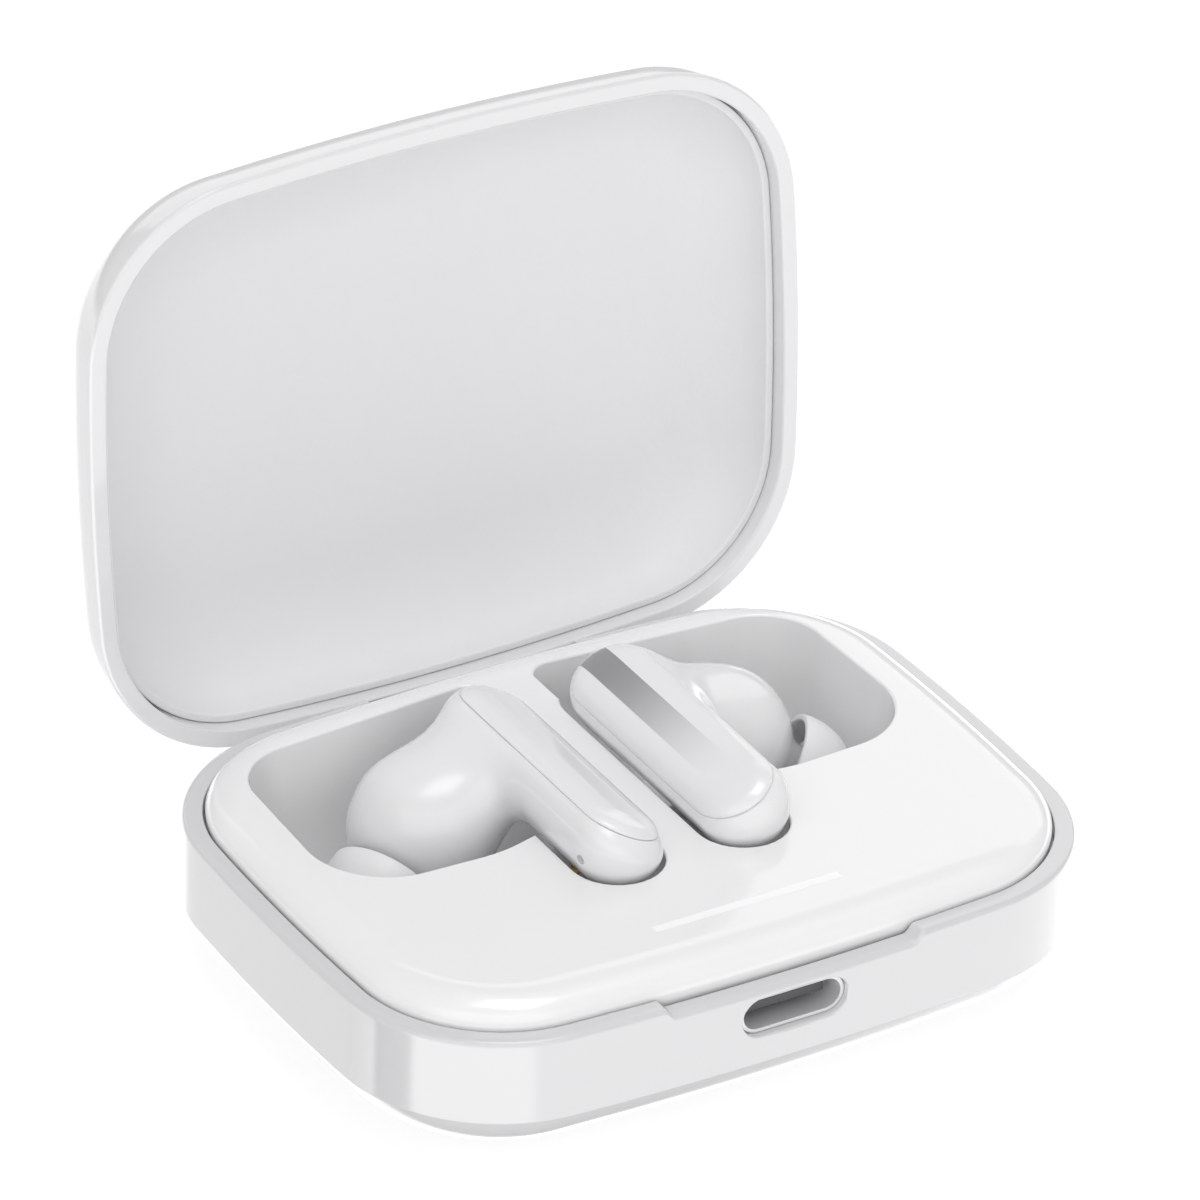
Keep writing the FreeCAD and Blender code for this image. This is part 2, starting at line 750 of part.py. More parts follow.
def make_port():
    shell = new_body("usb_receptacle")
    face = D.case_depth / 2 - 0.55
    sideways = FreeCAD.Rotation(Z_AXIS, 90)
    outer = add_sketch(shell, "shell_outer", "XZ_Plane", (0, 0, face), sideways)
    half = D.plug_shell_width / 2
    slot_outline(outer, -half, half, D.plug_shell_height / 2, D.port_level)
    pad(shell, outer, D.plug_shell_length, Reversed=True)
    inner = add_sketch(shell, "shell_inner", "XZ_Plane", (0, 0, face), sideways)
    half = half - D.plug_shell_wall
    slot_outline(inner, -half, half, D.plug_shell_height / 2 - D.plug_shell_wall, D.port_level)
    pocket(shell, inner, D.plug_shell_length - 0.4)
    tongue = new_body("usb_tongue")
    wafer_half = 3.35
    blade = add_sketch(tongue, "blade", "XZ_Plane", (0, 0, face - D.plug_shell_length + 0.4))
    rectangle(blade, -wafer_half, wafer_half, D.port_level - 0.35, D.port_level + 0.35)
    pad(tongue, blade, 5.6)
    root = add_sketch(tongue, "root", "XZ_Plane", (0, 0, face - D.plug_shell_length + 0.4))
    rectangle(root, -wafer_half - 0.3, wafer_half + 0.3, D.port_level - 0.85, D.port_level + 0.85)
    pad(tongue, root, 1.4)


def make_light():
    guide = new_body("light_guide")
    bar = add_sketch(guide, "bar", offset=(0, 0, D.deck_level))
    half = D.light_length / 2
    depth = D.light_width / 2
    rectangle(bar, -half, half, -D.light_front - depth, -D.light_front + depth)
    pad(guide, bar, D.deck_thick + 0.5, Reversed=True)
    feet = add_sketch(guide, "feet", offset=(0, 0, D.deck_level))
    for side in SIDES.values():
        middle = D.light_foot_span / 2 * side
        rectangle(feet, middle - 0.8, middle + 0.8, -D.light_front - depth, -D.light_front + depth)
    pad(guide, feet, D.deck_level - D.light_foot_level, Reversed=True)
    leds = []
    for label, side in SIDES.items():
        corner = (D.light_foot_span / 2 * side - 0.8, -D.light_front - 0.4, D.board_top)
        leds.append(box(f"led_{label}", corner, (1.6, 0.8, 0.6)))
    group("status_leds", leds)


def make_board():
    body = new_body("main_board")
    outline = add_sketch(body, "board_outline", offset=(0, 0, D.board_top))
    half = D.board_width / 2
    rectangle(outline, -half, half, -D.board_front, -D.board_back)
    pad(body, outline, D.board_thick, Reversed=True)
    holes = add_sketch(body, "board_holes", offset=(0, 0, D.board_top))
    for side in SIDES.values():
        circle(holes, 0.65, D.screw_span / 2 * side, -D.screw_front)
    pocket(body, holes, 1.5)
    chips = [
        box("charge_controller", (-2.5, -12.6, D.board_top), (5.0, 4.6, 0.9)),
        box("power_chip", (-12.0, -10.4, D.board_top), (3.2, 3.2, 0.8)),
        box("power_coil", (9.6, -10.8, D.board_top), (2.6, 2.6, 1.4)),
        box("sense_chip", (-12.4, -14.6, D.board_top), (2.0, 1.4, 0.6)),
        box("capacitor", (9.9, -14.2, D.board_top), (1.6, 0.8, 0.7)),
    ]
    group("board_chips", chips)
    screws = []
    for label, side in SIDES.items():
        x = D.screw_span / 2 * side
        head = cylinder(f"screw_head_{label}", 1.05, 0.6, (x, -D.screw_front, D.board_top))
        thread = cylinder(f"screw_thread_{label}", 0.5, 3.6, (x, -D.screw_front, D.board_top - 3.6))
        screw = doc.addObject("Part::Fuse", f"screw_{label}")
        screw.Base = head
        screw.Tool = thread
        screws.append(screw)
    group("board_screws", screws)


def make_battery():
    corner = (-D.cell_width / 2, -D.cell_front, D.cell_floor)
    block = box("cell_block", corner, (D.cell_width, D.cell_length, D.cell_thick))
    doc.recompute()
    cell = doc.addObject("Part::Fillet", "battery_cell")
    cell.Base = block
    cell.Edges = [(index, 0.8, 0.8) for index in range(1, len(block.Shape.Edges) + 1)]
    keep(cell, "battery_cell")
    top = D.cell_floor + D.cell_thick
    pad_corner = (-11.0, -D.cell_front + 1.5, top)
    pad_spans = (22.0, D.cell_length - 3, D.board_top - D.board_thick - top)
    keep(box("battery_pad", pad_corner, pad_spans), "battery_pad")
    guard_corner = (-6.0, -D.cell_front + D.cell_length + 0.1, D.cell_floor + 0.6)
    keep(box("battery_protection_board", guard_corner, (12.0, 0.8, 3.0)), "battery_protection_board")


def contact_offset():
    """How far from the middle of the case the charge contacts of a resting earbud are."""
    return D.bud_offset + D.stem_thick * math.sin(math.radians(D.bud_tilt.value))


def pin_places():
    return [-D.pin_front, -D.pin_front + D.pin_pitch]


def make_charge_pins():
    for label, side in SIDES.items():
        x = contact_offset() * side
        block = new_body(f"pogo_block_{label}")
        outline = add_sketch(block, f"block_outline_{label}", offset=(0, 0, D.board_top))
        rectangle(outline, x - 1.4, x + 1.4, -D.pin_front - 1.4, -D.pin_front + D.pin_pitch + 1.1)
        pad(block, outline, D.trough_level - D.trough_thick - D.board_top - 0.1)
        bores = add_sketch(block, f"block_bores_{label}", offset=(0, 0, D.trough_level))
        for place in pin_places():
            circle(bores, D.plunger_radius + 0.05, x, place)
        pocket(block, bores, D.trough_level - D.board_top - 0.5)
        for end, place in zip(("front", "rear"), pin_places()):
            length = D.plunger_top - D.board_top - 1.1
            base = (x, place, D.plunger_top - length)
            name = f"charge_pin_{label}_{end}"
            keep(cylinder(name, D.plunger_radius, length, base), name)
        corner = (x - BASE_MAGNET[0] / 2, BASE_MAGNET_FRONT, D.board_top + 0.6)
        magnet = box(f"base_magnet_{label}", corner, BASE_MAGNET)
        keep(magnet, f"base_magnet_{label}")
    latches = []
    for label, side in SIDES.items():
        low, high, front, back = latch_box(side)
        corner = (low, front, D.ledge_level - LATCH_HEIGHT - 0.05)
        latches.append(box(f"latch_magnet_{label}", corner, (LATCH_WIDTH, LATCH_THICK, LATCH_HEIGHT)))
    group("latch_magnets", latches)


# ---- earbuds ---------------------------------------------------------------------------------

# Each piece of the right earbud is drawn in the frame of its outer plate: x across the plate, y
# along the stem and z out of the plate. The left earbud is its mirror image.
bud_turn = FreeCAD.Rotation(-Y_AXIS, D.bud_tilt.value)
bud_home = V(D.bud_offset.value, 0, D.bud_level.value)


def to_bud(point):
    return bud_turn.inverted().multVec(point - bud_home)


def put_on_bud(body):
    body.Placement = FreeCAD.Placement(V(0, 0, 0), bud_turn)
    bind(body, "Placement.Rotation.Angle", D.bud_tilt)
    bind(body, "Placement.Base.x", D.bud_offset)
    bind(body, "Placement.Base.z", D.bud_level)


def mirrored(piece, label):
    """Keeps a piece of the right earbud and its mirror image for the left one."""
    keep(piece, f"right_{label}")
    twin = doc.addObject("Part::Mirroring", f"left_{label}")
    twin.Source = piece
    twin.Normal = X_AXIS
    keep(twin, f"left_{label}")


def bud_box(name, corner, spans):
    made = doc.addObject("Part::Box", name)
    for side, span in zip(("Length", "Width", "Height"), spans):
        bind(made, side, span)
    made.Placement = FreeCAD.Placement(bud_home + bud_turn.multVec(V(*corner)), bud_turn)
    return made


def axis_cylinder(name, radius, start, end):
    """A cylinder about the nozzle's axis, from start to end along it from the head's centre."""
    made = doc.addObject("Part::Cylinder", name)
    bind(made, "Radius", radius)
    bind(made, "Height", end - start)
    turn = FreeCAD.Rotation(Z_AXIS, NOZZLE_WAY)
    made.Placement = FreeCAD.Placement(HEAD_CENTRE + NOZZLE_WAY * start, turn)
    return made


def head_loft(body, kind, name, plate_inset, head_radius):
    """The neck between the stem and the round head: an ellipse under the plate, then a circle."""
    along_stem = FreeCAD.Rotation(Z_AXIS, 90)
    under_plate = add_sketch(body, f"{name}_stem", offset=(0, 0, -D.plate_thick), turn=along_stem)
    long_half = NECK_HALF_LENGTH - plate_inset
    short_half = D.plate_width.value / 2 + D.stem_lip.value - plate_inset
    middle = V(NECK_MIDDLE, 0, 0)
    oval = Part.Ellipse(middle + V(long_half, 0, 0), middle + V(0, short_half, 0), middle)
    under_plate.addGeometry(oval, False)
    constrain(under_plate, "Block", 0)
    centre = to_bud(HEAD_CENTRE)
    neck_angle = math.degrees(math.atan2(centre.x, -D.plate_thick.value - centre.z))
    ring_turn = FreeCAD.Rotation(Y_AXIS, -neck_angle) * along_stem
    ring = add_sketch(body, f"{name}_head", offset=tuple(centre), turn=ring_turn)
    circle(ring, head_radius)
    loft(body, kind, [under_plate, ring])


def ball(body, kind, radius):
    """A ball about the head's centre, its poles on the nozzle's axis."""
    made = body.newObject(f"PartDesign::{kind}", f"head_{kind}")
    bind(made, "Radius", radius)
    way = bud_turn.inverted().multVec(NOZZLE_WAY)
    made.Placement = FreeCAD.Placement(to_bud(HEAD_CENTRE), FreeCAD.Rotation(Z_AXIS, way))


def along_nozzle(body, kind, name, radius, start, end):
    made = body.newObject(f"PartDesign::{kind}", name)
    bind(made, "Radius", radius)
    bind(made, "Height", end - start)
    way = bud_turn.inverted().multVec(NOZZLE_WAY)
    made.Placement = FreeCAD.Placement(to_bud(HEAD_CENTRE) + way * start, FreeCAD.Rotation(Z_AXIS, way))


def make_bud_housing():
    body = doc.addObject("PartDesign::Body", "right_housing")
    half = D.plate_width / 2 + D.stem_lip
    stem = add_sketch(body, "stem", offset=(0, 0, -D.plate_thick))
    slot_outline(stem, -D.stem_front, D.plate_back + D.stem_lip, half)
    pad(body, stem, D.stem_thick - D.plate_thick, Reversed=True)
    fillet(body, D.stem_round, flat_at(-D.stem_thick.value))
    head_loft(body, "AdditiveLoft", "neck", 0.0, D.head_radius - 0.25)
    ball(body, "AdditiveSphere", D.head_radius)
    along_nozzle(body, "AdditiveCylinder", "nozzle", D.nozzle_radius, 4.6, D.nozzle_length.value)
    ball(body, "SubtractiveSphere", D.head_radius - D.bud_wall)
    head_loft(body, "SubtractiveLoft", "neck_hollow", 0.9, D.head_radius - D.bud_wall - 0.4)
    along_nozzle(body, "SubtractiveCylinder", "nozzle_bore", D.nozzle_bore, 2.0, 12.0)
    hollow = add_sketch(body, "stem_hollow", offset=(0, 0, -D.plate_thick))
    slot_outline(hollow, -D.plate_front + 0.9, D.plate_back - 0.9, D.plate_width / 2 - 0.9)
    pocket(body, hollow, D.stem_hollow)
    holes = add_sketch(body, "contact_holes", offset=(0, 0, -D.stem_thick - 1))
    for place in pin_places():
        circle(holes, 0.8, 0.0, place)
    pocket(body, holes, 2.4, Reversed=True)
    mic = body.newObject("PartDesign::SubtractiveCylinder", "mic_hole")
    mic.Radius = 0.4
    mic.Height = 2.4
    way = bud_turn.inverted().multVec(MIC_WAY)
    mic.Placement = FreeCAD.Placement(to_bud(MIC_PLACE - MIC_WAY * 1.6), FreeCAD.Rotation(Z_AXIS, way))
    put_on_bud(body)
    mirrored(body, "housing")


def make_bud_plate():
    body = doc.addObject("PartDesign::Body", "right_faceplate")
    outline = add_sketch(body, "plate_outline", offset=(0, 0, -D.plate_thick))
    slot_outline(outline, -D.plate_front, D.plate_back, D.plate_width / 2)
    pad(body, outline, D.plate_thick)
    fillet(body, D.plate_round, flat_at(0.0))
    put_on_bud(body)
    mirrored(body, "faceplate")


def make_ear_tip():
    """A mushroom of silicone: a sleeve on the nozzle that turns back into a soft skirt."""
    body = doc.addObject("PartDesign::Body", "right_ear_tip")
    profile = add_sketch(body, "tip_profile", "XZ_Plane")
    sleeve = D.nozzle_radius.value + 0.05
    widest = D.tip_radius.value
    root, hem, front = 6.3, 5.2, 9.9
    points = {
        "sleeve_root": V(sleeve, root, 0),
        "sleeve_end": V(sleeve, 9.0, 0),
        "mouth_in": V(1.5, 9.0, 0),
        "mouth_out": V(1.5, front - 0.2, 0),
        "nose": V(2.2, front, 0),
        "shoulder": V(4.05, 8.2, 0),
        "belly": V(widest, 6.2, 0),
        "hem_out": V(widest - 0.2, hem, 0),
        "hem_in": V(widest - 0.7, hem, 0),
        "lining": V(widest - 0.6, 6.4, 0),
        "vault": V(3.4, 8.1, 0),
        "sleeve_top": V(2.75, 8.6, 0),
        "sleeve_out": V(2.75, root, 0),
    }
    p = SimpleNamespace(**points)
    geometry = [
        Part.LineSegment(p.sleeve_root, p.sleeve_end),
        Part.LineSegment(p.sleeve_end, p.mouth_in),
        Part.LineSegment(p.mouth_in, p.mouth_out),
        Part.LineSegment(p.mouth_out, p.nose),
        Part.Arc(p.nose, p.shoulder, p.belly),
        Part.LineSegment(p.belly, p.hem_out),
        Part.LineSegment(p.hem_out, p.hem_in),
        Part.LineSegment(p.hem_in, p.lining),
        Part.Arc(p.lining, p.vault, p.sleeve_top),
        Part.LineSegment(p.sleeve_top, p.sleeve_out),
        Part.LineSegment(p.sleeve_out, p.sleeve_root),
    ]
    profile.addGeometry(geometry, False)
    for index in range(len(geometry)):
        constrain(profile, "Block", index)
    axis = [part for part in body.Origin.OriginFeatures if part.Role == "Z_Axis"][0]
    feature(body, "Revolution", profile, ReferenceAxis=(axis, [""]), Angle=360)
    body.Placement = FreeCAD.Placement(HEAD_CENTRE, FreeCAD.Rotation(Z_AXIS, NOZZLE_WAY))
    mirrored(body, "ear_tip")


def make_bud_insides():
    mirrored(axis_cylinder("right_nozzle_mesh", D.nozzle_bore - 0.05, 8.4, 8.7), "nozzle_mesh")
    mirrored(axis_cylinder("right_speaker_driver", 3.4, 0.6, 3.1), "speaker_driver")
    mirrored(axis_cylinder("right_coin_cell", 3.4, -3.2, 0.1), "coin_cell")
    mirrored(bud_box("right_circuit_board", (-1.5, -5.6, -2.2), (3.0, 9.8, 0.5)), "circuit_board")
    mirrored(bud_box("right_antenna", (-1.6, -4.6, -1.4), (3.2, 17.0, 0.25)), "antenna")
    mirrored(bud_box("right_bud_magnet", (-1.1, -2.6, -2.95), (2.2, 3.0, 0.7)), "bud_magnet")
    contacts = []
    for end, place in zip(("front", "rear"), pin_places()):
        contact = doc.addObject("Part::Cylinder", f"contact_{end}")
        contact.Radius = 0.75
        contact.Height = 0.85
        corner = V(0, place.value, -D.stem_thick.value + 0.0)
        contact.Placement = FreeCAD.Placement(bud_home + bud_turn.multVec(corner), bud_turn)
        contacts.append(contact)
    pair = doc.addObject("Part::Compound", "right_charge_contacts")
    pair.Links = contacts
    mirrored(pair, "charge_contacts")
    mesh = doc.addObject("Part::Cylinder", "right_mic_mesh")
    mesh.Radius = 0.36
    mesh.Height = 0.25
    mesh.Placement = FreeCAD.Placement(MIC_PLACE - MIC_WAY * 0.95, FreeCAD.Rotation(Z_AXIS, MIC_WAY))
    mirrored(mesh, "mic_mesh")


make_base_shell()
make_tray()
make_lid_shell()
make_lid_liner()
make_hinge_tongue()
make_lid_magnets()
make_hinge_pin()
make_port()
make_light()
make_board()
make_battery()
make_charge_pins()
make_bud_housing()
make_bud_plate()
make_ear_tip()
make_bud_insides()
doc.recompute()

# ---- checks and files ------------------------------------------------------------------------

CUTTERS = ("Pocket", "SubtractiveLoft", "SubtractiveSphere", "SubtractiveCylinder")
for thing in doc.Objects:
    if "Invalid" in thing.State or "Error" in thing.State:
        raise ValueError(f"{thing.Name} failed: {thing.State}")
    kind = thing.TypeId.split("::")[-1]
    if kind in CUTTERS and thing.Shape.Volume > thing.BaseFeature.Shape.Volume - 1e-3:
        raise ValueError(f"{thing.Name} cuts nothing")
os.makedirs("parts", exist_ok=True)
for part in sub_parts:
    if part.Shape.isNull() or not part.Shape.isValid():
        raise ValueError(f"{part.Label} has no valid shape")
    part.Shape.exportStep(f"parts/{part.Label}.step")
    print(f"{part.Label}: {len(part.Shape.Solids)} solid(s), {part.Shape.Volume:.1f} mm3")
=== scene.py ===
import json
import math

import bpy
import numpy as np
from mathutils import Matrix, Vector
from mathutils.bvhtree import BVHTree


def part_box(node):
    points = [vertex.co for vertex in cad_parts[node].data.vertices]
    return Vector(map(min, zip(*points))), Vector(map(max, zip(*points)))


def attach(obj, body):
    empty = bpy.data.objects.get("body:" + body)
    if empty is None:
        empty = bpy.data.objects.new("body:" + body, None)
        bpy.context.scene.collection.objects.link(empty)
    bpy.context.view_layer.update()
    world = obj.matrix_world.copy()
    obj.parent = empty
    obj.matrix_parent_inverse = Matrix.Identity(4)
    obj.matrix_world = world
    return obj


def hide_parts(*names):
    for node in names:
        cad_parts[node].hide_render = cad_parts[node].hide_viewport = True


# A white charging case for wireless earbuds, open on a pale floor. Shapes are worked out in
# millimetres, in the frame of the CAD model, and turned to metres when a mesh is made.

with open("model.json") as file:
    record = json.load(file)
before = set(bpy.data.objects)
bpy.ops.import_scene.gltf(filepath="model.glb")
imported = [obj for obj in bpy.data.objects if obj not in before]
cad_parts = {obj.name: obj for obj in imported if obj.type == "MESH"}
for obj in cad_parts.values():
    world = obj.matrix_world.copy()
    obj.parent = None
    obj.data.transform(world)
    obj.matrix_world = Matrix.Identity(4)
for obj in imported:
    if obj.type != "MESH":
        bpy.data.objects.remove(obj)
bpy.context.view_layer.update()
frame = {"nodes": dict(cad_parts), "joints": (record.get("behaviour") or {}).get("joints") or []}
MM = 0.001
SIDES = {"right": 1, "left": -1}


def node_box(node):
    """The lowest and highest corner of a CAD node, in millimetres."""
    low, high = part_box(node)
    return np.array(low) / MM, np.array(high) / MM


_, BASE_HIGH = node_box("base_shell")
_, TRAY_HIGH = node_box("bud_tray")
GUIDE_LOW, GUIDE_HIGH = node_box("light_guide")
PIN_BOXES = [node_box(f"charge_pin_right_{end}") for end in ("front", "rear")]
HINGE = next(np.array(joint["pos_m"]) / MM for joint in frame["joints"] if joint["name"] == "lid_hinge")

# ---- sizes the meshes share with the CAD model -------------------------------------------------

HALF_WIDTH = BASE_HIGH[0]
HALF_DEPTH = BASE_HIGH[1]
RIM_LEVEL = BASE_HIGH[2]
DECK_LEVEL = TRAY_HIGH[2]
CORNER_RADIUS = 13.2
FRONT_ARC = 275.0
SIDE_ARC = 211.0
FOOT_INSET = 9.7
BAND_LEVEL = 5.6
FLOOR_WALL = 1.6
RIM_WALL = 1.6
LEDGE_WALL = 2.4
LEDGE_LEVEL = 11.3
DECK_INSET = 5.0
SHOULDER_INSET = 1.75
NOTCH_HALF = 10.7
NOTCH_SLOPE = 0.9
NOTCH_DEPTH = 0.7
PORT_LEVEL = 9.55
PORT_WIDTH = 9.04
PORT_HEIGHT = 3.24
PORT_FLARE = 0.22
PORT_DEPTH = 6.0
SLOT_HALF = 9.2
SLOT_LEVEL = 9.4
ARM_HALF = 8.9
PIN_GAP = 0.05
LID_FOOT = RIM_LEVEL + 0.2
LID_BAND = 0.8
LID_RIM = 1.48
CROWN_HEIGHT = 8.2
CROWN_INSET = 9.0
LID_WALL = 1.3
LINER_START = 1.3
LINER_THICK = 0.65
LINER_GAP = 0.1
LINER_ROOF_GAP = 0.05
OPEN_ANGLE = 95.0


# ---- surfaces ----------------------------------------------------------------------------------


class Surface:
    """A closed surface, with the direction that it faces at each of its points."""

    def __init__(self, points, faces, normals=None, flat=False):
        self.points = np.asarray(points, float)
        self.faces = [tuple(face) for face in faces]
        self.flat = flat
        self.normals = self.facing() if normals is None else np.asarray(normals, float)

    def facing(self):
        """The mean direction of the faces at each point, where a large face counts for more."""
        total = np.zeros_like(self.points)
        for face in self.faces:
            ring = self.points[list(face)]
            total[list(face)] += np.cross(ring, np.roll(ring, -1, axis=0)).sum(axis=0)
        return unit(total)

    def mapped(self, matrix):
        """This surface moved by a 4 x 4 matrix; one that mirrors turns the faces round."""
        matrix = np.array(matrix)
        turn = matrix[:3, :3]
        mirrors = np.linalg.det(turn) < 0
        faces = [face[::-1] for face in self.faces] if mirrors else self.faces
        return Surface(self.points @ turn.T + matrix[:3, 3], faces, self.normals @ turn.T, self.flat)


def unit(vectors):
    length = np.linalg.norm(vectors, axis=-1, keepdims=True)
    return vectors / np.maximum(length, 1e-12)


def lofted(rings, caps=True, flat=False):
    """A skin over rings of equally many points, each turning left as seen from the rings' end."""
    rings = [np.asarray(ring, float) for ring in rings]
    count = len(rings[0])
    faces = []
    for level in range(len(rings) - 1):
        base = level * count
        for index in range(count):
            after = (index + 1) % count
            faces.append((base + index, base + after, base + count + after, base + count + index))
    if caps:
        faces.append(tuple(range(count))[::-1])
        faces.append(tuple(range(count * (len(rings) - 1), count * len(rings))))
    return Surface(np.concatenate(rings), faces, flat=flat)


def rounded(path, steps=5):
    """A line through (u, v, radius) points, where each corner with a radius becomes an arc."""
    result = []
    for index, (u, v, radius) in enumerate(path):
        here = np.array((u, v))
        if radius == 0:
            result.append(here)
            continue
        back = unit(np.array(path[index - 1][:2]) - here)
        ahead = unit(np.array(path[(index + 1) % len(path)][:2]) - here)
        half = math.acos(np.clip(back @ ahead, -1, 1)) / 2
        middle = here + unit(back + ahead) * radius / math.sin(half)
        start = here + back * radius / math.tan(half) - middle
        end = here + ahead * radius / math.tan(half) - middle
        sweep = math.atan2(start[0] * end[1] - start[1] * end[0], start @ end)
        for step in range(steps + 1):
            turn = sweep * step / steps
            spin = np.array(((math.cos(turn), -math.sin(turn)), (math.sin(turn), math.cos(turn))))
            result.append(middle + spin @ start)
    return result


def eased(points, steps=6):
    """A smooth curve through the points (Catmull-Rom)."""
    points = [np.array(point, float) for point in points]
    points = [2 * points[0] - points[1], *points, 2 * points[-1] - points[-2]]
    result = []
    for a, b, c, d in zip(points, points[1:], points[2:], points[3:]):
        for step in range(steps):
            t = step / steps
            bend = (2 * a - 5 * b + 4 * c - d) * t**2 + (3 * b - 3 * c + d - a) * t**3
            result.append(b + ((c - a) * t + bend) / 2)
    return [*result, points[-2]]


def quarter(inset, level, inset_span, level_span, steps=18):
    """A quarter of an ellipse, from upright to flat, as (inset, level) pairs."""
    turns = [math.pi / 2 * step / steps for step in range(steps + 1)]
    return [(inset + inset_span * (1 - math.cos(t)), level + level_span * math.sin(t)) for t in turns]


def rod(place, way, radius, start, end, count=24):
    """A cylinder along a line from place."""
    side = unit(np.cross(way, (0.3, 0.9, 0.2)))
    other = np.cross(way, side)
    turns = 2 * math.pi * np.arange(count) / count
    circle = radius * (np.outer(np.cos(turns), side) + np.outer(np.sin(turns), other))
    return lofted([circle + place + way * start, circle + place + way * end])


# ---- the case's outline ------------------------------------------------------------------------


def corner_centre():
    """Centre of the corner arc that touches the long arc and the short arc."""
    rear = FRONT_ARC - HALF_DEPTH
    side = SIDE_ARC - HALF_WIDTH
    reach_rear = FRONT_ARC - CORNER_RADIUS
    reach_side = SIDE_ARC - CORNER_RADIUS
    level = (reach_rear**2 - reach_side**2 - rear**2 + side**2) / (2 * rear)
    slope = side / rear
    a = 1 + slope**2
    b = 2 * slope * (level + rear)
    c = (level + rear) ** 2 - reach_rear**2
    x = (-b + math.sqrt(b * b - 4 * a * c)) / (2 * a)
    return np.array((x, slope * x + level))


def quarter_outline():
    """Points and outward directions from the middle of the right side to the middle of the rear."""
    centre = corner_centre()
    side_end = math.atan2(centre[1], centre[0] + SIDE_ARC - HALF_WIDTH)
    rear_end = math.atan2(centre[1] + FRONT_ARC - HALF_DEPTH, centre[0])
    notch = np.linspace(NOTCH_HALF - NOTCH_SLOPE, NOTCH_HALF + NOTCH_SLOPE, 13)
    notch_turns = np.arccos(notch / FRONT_ARC)
    rear_turns = np.linspace(rear_end, math.pi / 2, 24)
    rear_turns = np.unique(np.concatenate((rear_turns, notch_turns)))
    arcs = [
        ((HALF_WIDTH - SIDE_ARC, 0), SIDE_ARC, np.linspace(0, side_end, 14)),
        (centre, CORNER_RADIUS, np.linspace(side_end, rear_end, 30)),
        ((0, HALF_DEPTH - FRONT_ARC), FRONT_ARC, rear_turns),
    ]
    points = []
    normals = []
    for middle, radius, turns in arcs:
        ways = np.stack((np.cos(turns), np.sin(turns)), axis=1)[:-1]
        normals.append(ways)
        points.append(np.array(middle) + ways * radius)
    return np.concatenate(points), np.concatenate(normals)


def whole_outline():
    points, normals = quarter_outline()
    middle = np.array(((0.0, HALF_DEPTH),))
    up = np.array(((0.0, 1.0),))
    flip = np.array((-1.0, 1.0))
    half = np.concatenate((points, middle, (points * flip)[::-1]))
    half_ways = np.concatenate((normals, up, (normals * flip)[::-1]))
    return (
        np.concatenate((half, -half[1:-1])),
        np.concatenate((half_ways, -half_ways[1:-1])),
    )


OUTLINE, OUTWARD = whole_outline()


def ring_at(inset, level):
    """The case's outline moved inwards by inset, at that level."""
    flat = OUTLINE - OUTWARD * inset
    return np.column_stack((flat, np.full(len(flat), level)))


# ---- meshes ------------------------------------------------------------------------------------


def make_object(name, surface, material):
    mesh = bpy.data.meshes.new(name)
    mesh.from_pydata((surface.points * MM).tolist(), [], surface.faces)
    mesh.shade_smooth()
    mesh.normals_split_custom_set_from_vertices(surface.normals.tolist())
    mesh.materials.append(material)
    piece = bpy.data.objects.new(name, mesh)
    bpy.context.scene.collection.objects.link(piece)
    return piece


def tree_of(surface):
    """A search tree over a surface's triangles, and the corners of each."""
    triangles = [(f[0], f[i], f[i + 1]) for f in surface.faces for i in range(1, len(f) - 1)]
    return BVHTree.FromPolygons(surface.points.tolist(), triangles), np.array(triangles)


def weights_in(point, corners):
    """How near point, in the plane of a triangle, is to each of its corners: three parts of one."""
    a, b, c = corners
    ab, ac, ap = b - a, c - a, point - a
    d00, d01, d11, d20, d21 = ab @ ab, ab @ ac, ac @ ac, ap @ ab, ap @ ac
    span = max(d00 * d11 - d01 * d01, 1e-12)
    v = (d11 * d20 - d01 * d21) / span
    w = (d00 * d21 - d01 * d20) / span
    return np.clip(np.array((1 - v - w, v, w)), 0, 1)


def facing_at(point, source, tree, triangles):
    """The direction that a surface faces at its point nearest to this one."""
    spot, _, index, _ = tree.find_nearest(point)
    corners = triangles[index]
    shares = weights_in(np.array(spot), source.points[corners])
    return Vector(shares @ source.normals[corners]).normalized()


def nearest_source(trees, face):
    """The entry of trees that a face of a cut mesh comes from, or one of nothing."""
    best = (0.05, (None, 1, None, None, None))
    for entry in trees:
        _, sign, tree = entry[:3]
        _, way, _, distance = tree.find_nearest(face.center / MM)
        if way.dot(face.normal) * sign > 0.5 and distance < best[0]:
            best = (distance, entry)
            if distance < 1e-4:
                break
    return best[1]


